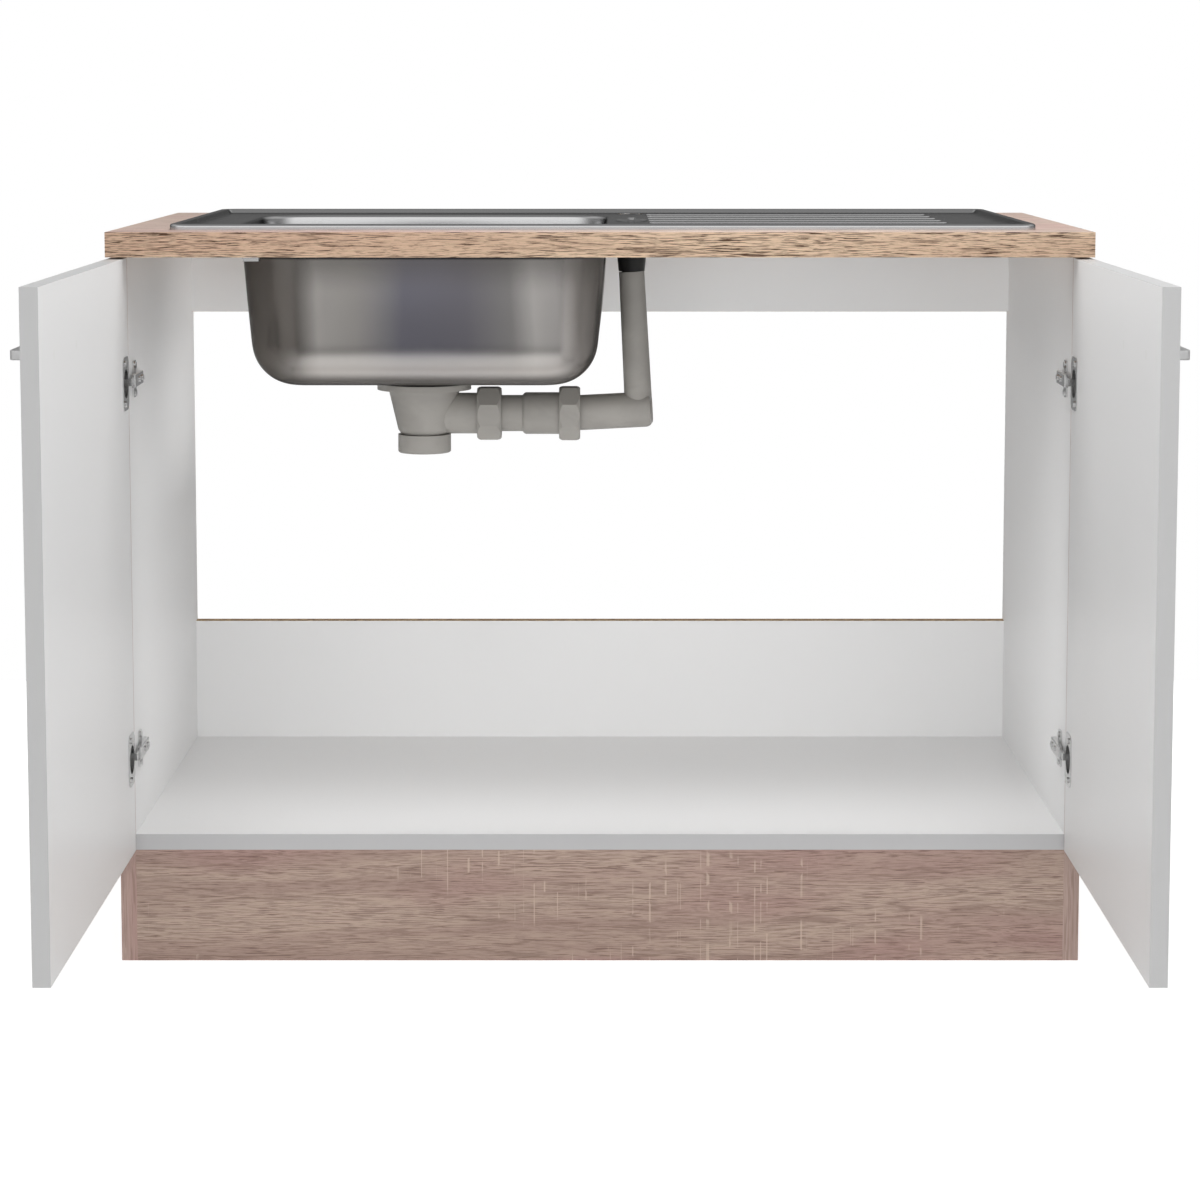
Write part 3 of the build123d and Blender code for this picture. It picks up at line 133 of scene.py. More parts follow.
# %% A node tree
class Nodes:
    """A node tree. Its patterns lie on Object coordinates, which are metres on a piece and the
    direction of the view in a world."""

    def __init__(self, tree):
        self.tree = tree
        self.place = self.node("ShaderNodeTexCoord", out="Object")

    def node(self, kind, settings=None, inputs=None, out=0):
        """Adds a node: its settings first, then the values or links of its sockets."""
        node = self.tree.nodes.new(kind)
        for key, value in (settings or {}).items():
            if key == "stops":
                self.put_stops(node.color_ramp.elements, value)
            else:
                setattr(node, key, value)
        for key, value in (inputs or {}).items():
            self.feed(node.inputs[key], value)
        return Link(self, node.outputs[out]) if node.outputs else None

    def put_stops(self, elements, stops):
        """Fills a colour ramp with (position, colour) pairs."""
        while len(elements) < len(stops):
            elements.new(0.5)
        for element, (position, colour) in zip(elements, stops):
            element.position = position
            element.color = colour

    def feed(self, socket, value):
        """Links a socket, or sets its own value."""
        if isinstance(value, Link):
            self.tree.links.new(value.socket, socket)
        else:
            socket.default_value = value

    def axis(self, letter):
        """One of the place's coordinates."""
        return self.node("ShaderNodeSeparateXYZ", None, {0: self.place}, letter)

    def noise(self, waves, detail, roughness=0.5, distortion=0.0, at=None):
        """Noise from 0 to 1, with its own number of waves per metre along X, Y and Z."""
        vectors = {0: at or self.place, 1: waves}
        spot = self.node("ShaderNodeVectorMath", {"operation": "MULTIPLY"}, vectors)
        sockets = {
            "Vector": spot, "Scale": 1.0, "Detail": detail, "Roughness": roughness,
            "Distortion": distortion,
        }
        return self.node("ShaderNodeTexNoise", {"normalize": True}, sockets)

    def rise(self, value, low, high):
        """0 before low, 1 after high and a smooth step between. High may be the smaller one."""
        sockets = {"Value": value, "From Min": low, "From Max": high}
        return self.node("ShaderNodeMapRange", {"interpolation_type": "SMOOTHSTEP"}, sockets)

    def larger(self, first, second):
        """The larger of two values."""
        return self.node("ShaderNodeMath", {"operation": "MAXIMUM"}, {0: first, 1: second})

    def mix(self, share, first, second):
        """Colour between two colours: the first at share 0, the second at share 1."""
        return self.node("ShaderNodeMix", {"data_type": "RGBA"}, {0: share, 6: first, 7: second}, 2)


# %% A finish
class Finish(Nodes):
    """A material with a Principled shader."""

    def __init__(self, name, **settings):
        self.material = bpy.data.materials.new(name)
        self.material.use_nodes = True
        super().__init__(self.material.node_tree)
        self.shader = self.tree.nodes["Principled BSDF"]
        self.set(**settings)

    def set(self, **values):
        """Sets or links the shader's sockets; base_color stands for Base Color."""
        for key, value in values.items():
            title = "IOR" if key == "ior" else key.replace("_", " ").title()
            self.feed(self.shader.inputs[title], value)

    def colour(self):
        """What feeds Base Color so far."""
        return Link(self, self.shader.inputs["Base Color"].links[0].from_socket)

    def dent(self, height, depth, strength):
        """Bump from a height between 0 and 1, with its depth in metres."""
        sockets = {"Height": height, "Distance": depth, "Strength": strength}
        return self.node("ShaderNodeBump", None, sockets)


# %% Colours
def srgb(red, green, blue):
    """Screen colour from 0 to 255, as the linear colour that a shader takes."""
    share = np.array([red, green, blue]) / 255
    linear = np.where(share <= 0.04045, share / 12.92, ((share + 0.055) / 1.055) ** 2.4)
    return (*map(float, linear), 1.0)


def dimmed(colour, share):
    """The colour at a share of its own brightness."""
    return (*(share * part for part in colour[:3]), 1.0)


white = srgb(243, 243, 243)
print("white board, linear:", np.round(white, 3).tolist())

# %% [markdown]
# ## Places read from the boards
#
# Some finishes change from one face of a board to the next, and the sink rests on the worktop. The
# places of these faces could be typed in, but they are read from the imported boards, so that they
# follow the model when a board changes. A point counts as on a face when it is within a fifth of a
# millimetre of it.

# %% Places of the boards
skin = 0.2 * mm
side_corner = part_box("side_panel_right")[1]
outer_x, back_y = side_corner.x, side_corner.y
rail_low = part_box("back_rail")[0].z
back_board_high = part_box("back_board_lower")[1].z
worktop_low, worktop_high = (corner.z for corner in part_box("worktop_board"))
door_low, door_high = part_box("door_left_panel")
print("outer face:", round(outer_x, 3), "rear face:", round(back_y, 3))
print("worktop from", round(worktop_low, 3), "to", round(worktop_high, 3))

# %% [markdown]
# ## White melamine board
#
# The boards are chipboard with a white melamine face. The face isn't a flat white: a fine orange
# peel breaks the gloss, and the tone drifts a little over a large board. Edges that no strip covers
# show the chipboard's brown core. A second material on those edges would need their faces picked
# out. One shader does both, because it knows from the surface's place which edge it is on.

# %% Chipboard core
browns = [(0.36, srgb(122, 94, 66)), (0.5, srgb(176, 146, 108)), (0.62, srgb(206, 180, 142))]


def chipboard_colour(finish):
    """Pressed flakes: two sizes of noise sorted into three browns. Gives colour and flakes."""
    flakes = finish.noise((420, 420, 420), 3, 0.7) * 0.65 + finish.noise((120, 120, 120), 2) * 0.35
    return finish.node("ShaderNodeValToRGB", {"stops": browns}, {"Fac": flakes}), flakes


print("browns of the core:", len(browns))


# %% White boards
def melamine(name, face, raw_edge=None):
    """White board. raw_edge gives, for a finish, the mask where the bare core shows."""
    finish = Finish(name, ior=1.48)
    drift = finish.noise((3, 3, 3), 2)
    peel = finish.noise((650, 650, 650), 2, 0.6)
    tone = finish.mix(drift, face, dimmed(face, 0.97))
    rough = 0.34 + drift * 0.08
    height = peel
    if raw_edge is not None:
        raw = raw_edge(finish)
        core, flakes = chipboard_colour(finish)
        tone = finish.mix(raw, tone, core)
        rough = rough + raw * 0.45
        height = peel * (1 - raw) + flakes * raw * 3
    finish.set(base_color=tone, roughness=rough, normal=finish.dent(height, 0.03 * mm, 0.6))
    return finish


edge_white = melamine("white_edge_strip", srgb(200, 200, 201))
bottom_white = melamine(
    "white_board_raw_back", white, lambda board: board.axis("Y") > back_y - skin
)
rail_white = melamine("white_rail", white, lambda board: board.axis("Z") < rail_low + skin)
back_white = melamine(
    "white_back_board", white, lambda board: board.axis("Z") > back_board_high - skin
)
print("nodes in a white board:", len(edge_white.tree.nodes))
print("nodes with a raw edge:", len(rail_white.tree.nodes))

# %% [markdown]
# ## Oak decor
#
# The worktop, its edge strips and the plinth carry a printed oak: short dark strokes along the
# grain, longer lines that waver, patches that turn pink, and on the plinth clusters of pale saw
# marks that cross the grain. A photograph of wood would repeat and would need its own rights. Here
# all of it is noise, stretched along the grain by giving it few waves per metre there.

# %% Waves along and across the grain
def stretched(along, across, axis):
    """Three numbers, one for each axis: one number along the grain's axis, the other across it."""
    waves = [across, across, across]
    waves["XYZ".index(axis)] = along
    return tuple(waves)


print("strokes of the worktop's front, waves per metre:", stretched(34, 1200, "X"))


# %% Saw marks
saw_pale = srgb(214, 194, 178)
sawn_middle = 60 * mm
sawn_reach = (340 * mm, 160 * mm)


def saw_marks(finish):
    """Mask of short upright lines. The teeth are a noise that changes along X only, the ends cut
    them to lengths, and both show only in clusters, which are fewer away from the middle."""
    middle_part = finish.rise(abs(finish.axis("X") - sawn_middle), *sawn_reach)
    patches = finish.noise(stretched(5, 12, "X"), 2, 0.5) + (middle_part - 0.5) * 0.12
    teeth = finish.rise(finish.noise((150, 0, 0), 2, 0.6), 0.575, 0.60)
    ends = finish.rise(finish.noise((70, 0, 44), 1, 0.3), 0.47, 0.53)
    return teeth * ends * finish.rise(patches, 0.52, 0.58)


print("saw marks gather round X =", round(sawn_middle, 3), "m")


# %% Oak
def oak(name, axis, tones, lines=0.6, waves=(24, 840), sawn=0.0):
    """Printed oak. tones are its middle, pale, dark and pink colours, lines is the strength of the
    grain, waves are the strokes' waves per metre along and across it, and sawn is the strength of
    the saw marks. A slow noise first pushes the place sideways, place + bend * wander, so that all
    lines waver together."""
    middle, pale, dark, pink = tones
    along, across = waves
    finish = Finish(name, ior=1.46)

    wander = finish.noise(stretched(3, 12, axis), 3, 0.55)
    bend = stretched(0.0, 12 * mm, axis)
    vectors = {0: wander, 1: bend, 2: finish.place}
    place = finish.node("ShaderNodeVectorMath", {"operation": "MULTIPLY_ADD"}, vectors)
    broad = finish.noise(stretched(2, 30, axis), 3, 0.5, 0.2, place)
    patches = finish.noise(stretched(2.4, 9, axis), 2)
    grain = finish.noise(stretched(along, across, axis), 1.5, 0.45, 0.0, place)
    rings = finish.noise(stretched(4, 60, axis), 2, 0.5, 0.0, place)
    breaks = finish.noise(stretched(9, 90, axis), 2)
    dashes = finish.noise(stretched(along * 2.5, across * 1.5, axis), 2, 0.5, 0.0, place)

    uneven_grain = grain + (broad - 0.5) * 0.25
    ring_lines = finish.rise(abs(rings - 0.5), 0.024, 0.008) * finish.rise(breaks, 0.42, 0.58)
    dark_lines = finish.larger(ring_lines * 0.6, finish.rise(uneven_grain, 0.56, 0.61))
    dark_dashes = finish.rise(dashes, 0.58, 0.64)
    pale_dashes = finish.rise(dashes, 0.42, 0.36)

    tone = finish.mix(finish.rise(broad, 0.36, 0.64), middle, pale)
    tone = finish.mix(finish.rise(patches, 0.46, 0.64) * 0.7, tone, pink)
    tone = finish.mix(finish.rise(uneven_grain, 0.40, 0.72) * (0.3 * lines), tone, dark)
    tone = finish.mix(dark_lines * lines, tone, dark)
    tone = finish.mix(dark_dashes * (0.55 * lines), tone, dark)
    tone = finish.mix(pale_dashes * (0.6 * lines), tone, pale)
    if sawn:
        tone = finish.mix(saw_marks(finish) * sawn, tone, saw_pale)
    height = 1 - dark_lines * 0.6 - dark_dashes * 0.4
    finish.set(
        base_color=tone, roughness=0.46 + dark_lines * 0.14 + broad * 0.06,
        normal=finish.dent(height, 0.08 * mm, 0.4),
    )
    return finish


# %% The unit's woods: middle, pale, dark and pink
front_tones = (srgb(209, 178, 152), srgb(226, 198, 170), srgb(80, 54, 38), srgb(206, 170, 146))
top_tones = (srgb(202, 178, 166), srgb(214, 192, 178), srgb(138, 110, 98), srgb(206, 172, 164))
plinth_tones = (srgb(176, 151, 139), srgb(198, 175, 160), srgb(108, 82, 74), srgb(178, 143, 137))
upright_tones = (srgb(184, 160, 150), srgb(196, 172, 162), srgb(138, 110, 100), srgb(184, 150, 142))
beech_tones = (srgb(214, 178, 132), srgb(224, 190, 146), srgb(180, 138, 96), srgb(212, 170, 126))
oak_front = oak("oak_front_edge", "X", front_tones, lines=1.0, waves=(34, 1200))
oak_side_edge = oak("oak_side_edge", "Y", front_tones, lines=1.0, waves=(34, 1200))
oak_plinth = oak("oak_plinth", "X", plinth_tones, lines=0.6, waves=(30, 1400), sawn=0.62)
oak_upright = oak("oak_upright", "Z", upright_tones, lines=0.36, waves=(18, 620))
beech = oak("plain_beech", "X", beech_tones, lines=0.25, waves=(30, 500))
print("nodes in the plinth's oak:", len(oak_plinth.tree.nodes))

# %% [markdown]
# ## Boards that mix finishes
#
# Three boards show different finishes on different faces. The sides are white inside and oak
# outside, and their rear edges are raw. The worktop has its decor on top, a brown backing paper
# underneath and raw chipboard round the cut-out and at the back. The doors have edge strips of a
# greyer white. Each takes a finish from above and mixes others over it, by masks that compare the
# place on the surface with the board's own faces.

# %% Sides
def side_finish():
    """Oak outside, white inside the cupboard and a raw rear edge."""
    finish = oak("side_board", "Z", upright_tones, lines=0.5)
    wood = finish.colour()
    outside = abs(finish.axis("X")) > outer_x - skin
    raw = finish.axis("Y") > back_y - skin
    core, _ = chipboard_colour(finish)
    finish.set(base_color=finish.mix(raw, finish.mix(outside, white, wood), core))
    return finish


side_board = side_finish()
print("side finish:", side_board.material.name)


# %% Worktop
def worktop_finish():
    """Oak on top, backing paper below and raw board at the cut edges."""
    finish = oak("worktop_board", "X", top_tones, lines=0.6)
    wood = finish.colour()
    z = finish.axis("Z")
    on_top = z > worktop_high - skin
    below = z < worktop_low + skin
    core, flakes = chipboard_colour(finish)
    backing = finish.mix(flakes, srgb(150, 118, 88), srgb(166, 134, 102))
    finish.set(base_color=finish.mix(on_top, finish.mix(below, core, backing), wood))
    return finish


worktop_board = worktop_finish()
print("worktop finish:", worktop_board.material.name)


# %% Doors
def door_finish():
    """White board with edge strips of a slightly greyer white all round."""
    finish = melamine("door_board", white)
    face = finish.colour()
    y, z = finish.axis("Y"), finish.axis("Z")
    upright_strips = finish.larger(y < door_low.y + skin, y > door_high.y - skin)
    level_strips = finish.larger(z < door_low.z + skin, z > door_high.z - skin)
    strips = finish.larger(upright_strips, level_strips)
    finish.set(base_color=finish.mix(strips, face, srgb(208, 208, 208)))
    return finish


door_board = door_finish()
print("door finish:", door_board.material.name)

# %% [markdown]
# ## Steel, nickel and zinc
#
# Brushed steel is a mirror with thousands of scratches that all run one way. The scratches spread
# the light across them, so the finish stretches noise along the brushing and feeds it to roughness
# and bump. The handles are satin nickel, whose coating is half matt, so they are less metallic. The
# hinges and screws are bright zinc, which only has spots and smears from handling.

# %% Brushed steel and satin nickel
def brushed(name, axis, colour, roughness, scratch=0.5, edge=0.5, metallic=1.0):
    """Metal brushed along an axis. scratch is the strength of its bump, edge the brightness of the
    tint at glancing angles."""
    finish = Finish(name, metallic=metallic)
    scratches = finish.noise(stretched(6, 1600, axis), 3, 0.6)
    clouds = finish.noise((7, 7, 7), 3, 0.5, 0.3)
    fine = finish.noise(stretched(30, 3200, axis), 2, 0.5)
    tone = finish.mix(scratches * 0.5, colour, dimmed(colour, 0.82))
    finish.set(
        base_color=tone, roughness=roughness + (scratches - 0.5) * 0.18 + (clouds - 0.5) * 0.08,
        normal=finish.dent(scratches * 0.6 + fine * 0.4, 0.02 * mm, scratch),
        specular_tint=(edge, edge, edge, 1.0),
    )
    return finish


steel_top = brushed("sink_top_steel", "X", (0.76, 0.76, 0.765, 1.0), 0.19, scratch=0.2, edge=0.2)
steel_parts = brushed("strainer_steel", "X", (0.48, 0.48, 0.48, 1.0), 0.22)
nickel = brushed("satin_nickel", "Y", (0.78, 0.78, 0.78, 1.0), 0.34, metallic=0.6)
print("nodes in brushed steel:", len(steel_top.tree.nodes))


# %% Bright zinc
def plated(name, colour, roughness):
    """Bright plated hardware with small handling marks."""
    finish = Finish(name, metallic=1.0)
    spots = finish.noise((260, 260, 260), 3, 0.6)
    smears = finish.noise((60, 60, 60), 2)
    finish.set(
        base_color=finish.mix(smears * 0.5, colour, dimmed(colour, 0.75)),
        roughness=roughness + (spots - 0.5) * 0.16, normal=finish.dent(spots, 0.02 * mm, 0.4),
    )
    return finish


zinc = plated("bright_zinc", (0.76, 0.76, 0.76, 1.0), 0.24)
print("nodes in zinc:", len(zinc.tree.nodes))

# %% [markdown]
# ## The bowl's drawn steel, with painted reflections and shade
#
# The press draws the bowl out of the sheet and leaves it unbrushed below. Its colour has painted
# reflections and shade round the bowl: painted shade on the sides, a painted reflection as a pale
# band beside each corner and a painted bluish reflection in the middle of the front. With the
# height it has a painted highlight where the wall turns into the floor's rounding, painted shade
# under the floor, darker painted shade up to the deck and a painted shadow right under the worktop.
# A plain mirror would show none of this, because there is little round it to mirror. So the tones
# are painted by place, one ramp along X and four steps along Z.

# %% Drawn steel with painted reflections and shade
bowl_middle = np.array([-204.5, 230.0]) * mm
ramp_left, ramp_right = -420 * mm, 20 * mm


def drawn_steel_painted_light(name):
    """Underside of the pressing, with painted reflections and painted shade. The place on the ramp
    is X, moved to and fro by a slow noise. The heights of the four steps are metres above the
    room's floor."""
    finish = Finish(name, metallic=1.0)
    clouds = finish.noise((9, 9, 5), 3, 0.55, 0.4)
    scratches = finish.noise((260, 260, 6), 3, 0.6)
    drift = finish.noise((9, 9, 4), 0, 0.5)
    x, z = finish.axis("X"), finish.axis("Z")

    place = x + (drift - 0.5) * 0.04
    across_bowl = {"Value": place, "From Min": ramp_left, "From Max": ramp_right}
    # The ramp along X paints reflections and shade: painted shade on both sides, a painted
    # reflection as a pale band beside each corner and a painted bluish reflection in the middle.
    painted_shade_and_reflection_bands = [
        (0.02, (0.17, 0.156, 0.142, 1)),    # left side
        (0.17, (0.14, 0.128, 0.117, 1)),
        (0.215, (0.68, 0.65, 0.62, 1)),     # pale band beside the left corner
        (0.29, (0.58, 0.555, 0.53, 1)),
        (0.42, (0.29, 0.285, 0.335, 1)),    # bluish middle
        (0.60, (0.29, 0.28, 0.32, 1)),
        (0.72, (0.42, 0.405, 0.40, 1)),
        (0.78, (0.78, 0.75, 0.72, 1)),      # pale band beside the right corner
        (0.84, (0.66, 0.63, 0.61, 1)),
        (0.90, (0.30, 0.28, 0.265, 1)),     # right side
        (0.98, (0.22, 0.205, 0.19, 1)),
    ]
    share = finish.node("ShaderNodeMapRange", None, across_bowl)
    tone = finish.node("ShaderNodeValToRGB", {"stops": painted_shade_and_reflection_bands}, {"Fac": share})
    tone = finish.mix(finish.rise(clouds, 0.35, 0.7) * 0.15, tone, (0.33, 0.31, 0.29, 1.0))

    # A painted highlight where the wall turns into the floor's rounding, along the bowl's middle.
    along_middle = finish.rise(abs(x - float(bowl_middle[0])), 0.180, 0.115)
    painted_highlight_at_rounding = finish.rise(z, 0.706, 0.680) * along_middle
    tone = finish.mix(painted_highlight_at_rounding * 0.76, tone, (0.78, 0.75, 0.72, 1.0))
    # Painted shade under the bowl's floor.
    painted_shade_under_floor = finish.rise(z, 0.675, 0.660)
    tone = finish.mix(painted_shade_under_floor * 0.85, tone, (0.20, 0.188, 0.176, 1.0))
    # Painted shade, darker up the wall towards the deck.
    painted_shade_up_to_deck = finish.rise(z, 0.760, 0.808)
    tone = finish.mix(painted_shade_up_to_deck * 0.6, tone, (0.15, 0.14, 0.13, 1.0))
    # A painted shadow in the dark gap right under the worktop.
    painted_shadow_under_worktop = finish.rise(z, 0.8025, 0.8055)
    tone = finish.mix(painted_shadow_under_worktop * 0.85, tone, (0.02, 0.02, 0.02, 1.0))

    finish.set(
        base_color=tone, roughness=0.25 + (scratches - 0.5) * 0.03 + (clouds - 0.5) * 0.06,
        normal=finish.dent(scratches, 0.001 * mm, 0.04),
        specular_tint=(0.5, 0.5, 0.5, 1.0),
    )
    return finish


steel_under = drawn_steel_painted_light("sink_underside_steel_painted_light")
print("nodes in drawn steel:", len(steel_under.tree.nodes))

# %% [markdown]
# ## Plastics and rubber
#
# The waste is grey polypropylene, which is waxy: a soft sheen, faint flow marks and a fine grain
# from the mould. The same shader with other numbers gives the black connector, the rubber seals,
# which are darker and rougher, the foam under the sink's rim and the white caps in the doors.

# %% Plastics and rubber
def plastic(name, colour, roughness, shade=0.86, grain=520):
    """Moulded plastic. Flow marks dim it to a shade, and grain is its pits per metre."""
    finish = Finish(name, ior=1.49)
    flow = finish.noise((16, 16, 26), 3, 0.55, 0.6)
    pits = finish.noise((grain, grain, grain), 2, 0.6)
    finish.set(
        base_color=finish.mix(finish.rise(flow, 0.3, 0.7), colour, dimmed(colour, shade)),
        roughness=roughness + (pits - 0.5) * 0.12, normal=finish.dent(pits, 0.04 * mm, 0.5),
    )
    return finish


grey_plastic = plastic("grey_polypropylene", srgb(152, 149, 144), 0.42)
black_plastic = plastic("black_polypropylene", srgb(22, 22, 22), 0.4)
rubber = plastic("black_rubber", srgb(20, 20, 20), 0.72, grain=900)
foam = plastic("sealing_foam", srgb(120, 120, 118), 0.85, grain=1500)
cap_plastic = plastic("white_cap", srgb(240, 240, 239), 0.4, shade=0.97)
print("nodes in a plastic:", len(grey_plastic.tree.nodes))

# %% [markdown]
# ## Smooth shading on the imported solids
#
# An imported node is loose triangles with hard normals. Its vertices must stay as they are, but
# modifiers may finish it: Weld joins the triangles, and Edge Split keeps the edges sharper than a
# limit angle, so that cylinders shade round and boards stay crisp.

# %% Smooth and crisp
board_limit = 32
sink_limit = 40


def shade_smooth(mesh):
    """Smooth shading on every face."""
    mesh.polygons.foreach_set("use_smooth", np.ones(len(mesh.polygons), bool))


def keep_crisp(piece, angle):
    """Splits the shading at edges sharper than an angle in degrees."""
    split = piece.modifiers.new("crisp_edges", "EDGE_SPLIT")
    split.split_angle = math.radians(angle)
    split.use_edge_sharp = False


def dress(finish, *names):
    """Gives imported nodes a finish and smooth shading."""
    for name in names:
        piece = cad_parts[name]
        piece.data.materials.clear()
        piece.data.materials.append(finish.material)
        if piece.data.attributes.get("custom_normal") is not None:
            piece.data.attributes.remove(piece.data.attributes["custom_normal"])
        shade_smooth(piece.data)
        weld = piece.modifiers.new("weld", "WELD")
        weld.merge_threshold = 1e-6
        keep_crisp(piece, board_limit)


print("crisp above", board_limit, "degrees on boards and", sink_limit, "on the sink")


# %% Boards and wood
dress(side_board, "side_panel_left", "side_panel_right")
dress(oak_upright, "side_front_edgings")
dress(bottom_white, "bottom_panel")
dress(edge_white, "bottom_front_edging")
dress(rail_white, "back_rail")
dress(back_white, "back_board_lower")
dress(door_board, "door_left_panel", "door_right_panel")
dress(oak_plinth, "plinth_board")
dress(worktop_board, "worktop_board")
dress(oak_front, "worktop_front_edging")
dress(oak_side_edge, "worktop_side_edgings")
dress(beech, "wooden_dowels")
print("worktop finish on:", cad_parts["worktop_board"].name)

# %% Hardware
dress(zinc, "cam_locks", "cam_bolts", "worktop_brackets", "bracket_screws")
dress(zinc, "sink_claws", "claw_screws", "mounting_plates", "plate_screws")
dress(zinc, "adjusting_screws", "overflow_screw", "strainer_screw")
for hand in ("left", "right"):
    dress(zinc, f"hinge_cups_{hand}", f"hinge_pins_{hand}", f"hinge_arms_{hand}")
    dress(zinc, f"cup_screws_{hand}", f"handle_screws_{hand}")
    dress(nickel, f"handle_{hand}")
    dress(cap_plastic, f"handle_caps_{hand}")
print("handle length:", round(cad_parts["handle_left"].dimensions.y, 3), "m")

# %% Sink fittings and waste
dress(steel_under, "sink_anchor_tabs")
dress(steel_parts, "strainer_cup", "strainer_basket", "basket_knob", "overflow_rosette")
dress(rubber, "strainer_seal", "basket_plug_seal", "waste_gasket")
dress(rubber, "outlet_washer", "branch_washer", "elbow_washer")
dress(foam, "sink_rim_seal")
dress(grey_plastic, "waste_body", "outlet_nut", "branch_nut")
dress(grey_plastic, "overflow_coupling", "elbow_nut", "overflow_pipe")
dress(black_plastic, "overflow_connector")
plain_nodes = [name for name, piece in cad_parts.items() if not piece.modifiers]
print("nodes without a finish:", plain_nodes)

# %% [markdown]
# ## Loops and profiles
#
# The sink is made of loops: its outline, the bowl's mouth and the ribs are all rounded rectangles,
# and the waste's seat is a circle. A profile carried along such a loop gives the rim, the bowl's
# wall and the rib's shoulder. Every point of a loop keeps its outward direction, so a profile only
# says how far out and how high it is.

# %% Loops
def eased_turn(angle, radius, ease, steps):
    """Directions along a bend and its step length. The bend turns at 1 / radius and eases in and
    out over a length, so its direction is the running sum of that rate."""
    steady = (angle - ease / radius) * radius
    walked = np.linspace(0, 2 * ease + steady, steps + 1)
    if ease:
        knots = [0, ease, ease + steady, 2 * ease + steady]
        rate = np.interp(walked, knots, [0, 1 / radius, 1 / radius, 0])
    else:
        rate = np.full(steps + 1, 1 / radius)
    turned = np.concatenate([[0], np.cumsum((rate[1:] + rate[:-1]) / 2)])
    return turned / turned[-1] * angle, walked[1]


def rounded_loop(width, depth, radius, centre, corner_steps=14, side_steps=8, ease=0.0):
    """Points round a rounded rectangle, anticlockwise, their outward directions, and a hump that
    rises from 0 at a side's ends to 1 in its middle as sin squared. A corner is an eased bend,
    walked in chords; a side's points lie between two corners."""
    angle, step = eased_turn(math.pi / 2, radius, ease, corner_steps)
    turn = np.stack([np.cos(angle), np.sin(angle)], 1)
    half = (angle[1:] + angle[:-1]) / 2
    chord = step * np.sinc(np.diff(angle) / (2 * np.pi))
    walk = np.cumsum(np.stack([-np.sin(half), np.cos(half)], 1) * chord[:, None], 0)
    size = walk[-1, 1]
    corner = np.concatenate([[(size, 0)], walk + (size, 0)])
    hubs = np.array([(1, 1), (-1, 1), (-1, -1), (1, -1)]) * (width / 2 - size, depth / 2 - size)
    points, outward, hump = [], [], []
    share = np.arange(1, side_steps)[:, None] / side_steps
    quarter = np.array([(0, 1), (-1, 0)])
    for k in range(4):
        spin = np.linalg.matrix_power(quarter, k)
        here = hubs[k] + corner @ spin
        there = hubs[(k + 1) % 4] + corner[0] @ quarter @ spin
        points += [here, here[-1] + share * (there - here[-1])]
        outward += [turn @ spin, np.repeat((turn @ spin)[-1:], side_steps - 1, 0)]
        hump += [np.zeros(corner_steps + 1), np.sin(np.pi * share[:, 0]) ** 2]
    return np.concatenate(points) + centre, np.concatenate(outward), np.concatenate(hump)


def circle_loop(radius, centre, count=64):
    """Points round a circle, anticlockwise, their outward directions and no hump."""
    angle = np.linspace(0, 2 * np.pi, count, endpoint=False)
    turn = np.stack([np.cos(angle), np.sin(angle)], 1)
    return radius * turn + centre, turn, np.zeros(count)


print("points on a circle:", len(circle_loop(1.0, np.zeros(2))[0]))


# %% Profiles
def arc(out, up, radius, start, end, steps):
    """Profile points on an arc: centre + radius * (cos, sin), with the angles in degrees."""
    angle = np.radians(np.linspace(start, end, steps + 1))
    return np.stack([out + radius * np.cos(angle), up + radius * np.sin(angle)], 1)


def carry(loop, profile, swell=0.0):
    """Grid of points: row by row the profile, column by column the loop. Each point is the loop's
    point moved out along its own direction, at the profile's height. The swell adds to a row's
    distance in the middle of each side."""
    points, outward, hump = loop
    out, up = np.asarray(profile, float).T
    reach = out[:, None] + np.broadcast_to(swell, out.shape)[:, None] * hump[None]
    flat = points[None] + reach[..., None] * outward[None]
    height = np.broadcast_to(up[:, None, None], flat.shape[:2] + (1,))
    return np.concatenate([flat, height], 2)


def quads(grid):
    """Vertices and faces of a grid that closes on itself along its columns."""
    rows, columns = grid.shape[:2]
    index = np.arange(rows * columns).reshape(rows, columns)
    ahead = np.roll(index, -1, 1)
    faces = np.stack([index[:-1], ahead[:-1], ahead[1:], index[1:]], -1).reshape(-1, 4)
    return grid.reshape(-1, 3), faces.tolist()


cone = carry(circle_loop(1.0, np.zeros(2)), [(0, 0), (-0.5, 1)])
print("faces of a cone of two rows:", len(quads(cone)[1]))


# %% Flat sheets between loops
speck = 1e-7


def inside(loop, spots):
    """Which spots lie inside a convex anticlockwise loop: left of, or on, every edge's line."""
    start = loop[None]
    along = np.roll(loop, -1, 0)[None] - start
    toward = spots[:, None] - start
    return (along[..., 0] * toward[..., 1] - along[..., 1] * toward[..., 0] >= 0).all(1)


def flat_sheet(outline, holes, height):
    """Level sheet inside an outline and outside its holes, cut into triangles between the loops."""
    loops = [outline, *holes]
    spots = np.concatenate(loops)
    edges, first = [], 0
    for loop in loops:
        index = np.arange(len(loop)) + first
        edges += np.stack([index, np.roll(index, -1)], 1).tolist()
        first += len(loop)
    found = delaunay_2d_cdt([Vector(spot) for spot in spots], edges, [], 1, speck)
    corners = np.array([tuple(spot) for spot in found[0]])
    triangles = np.array(found[2])
    middle = corners[triangles].mean(1)
    keep = inside(outline, middle)
    for hole in holes:
        keep &= ~inside(hole, middle)
    return np.column_stack([corners, np.full(len(corners), height)]), triangles[keep].tolist()


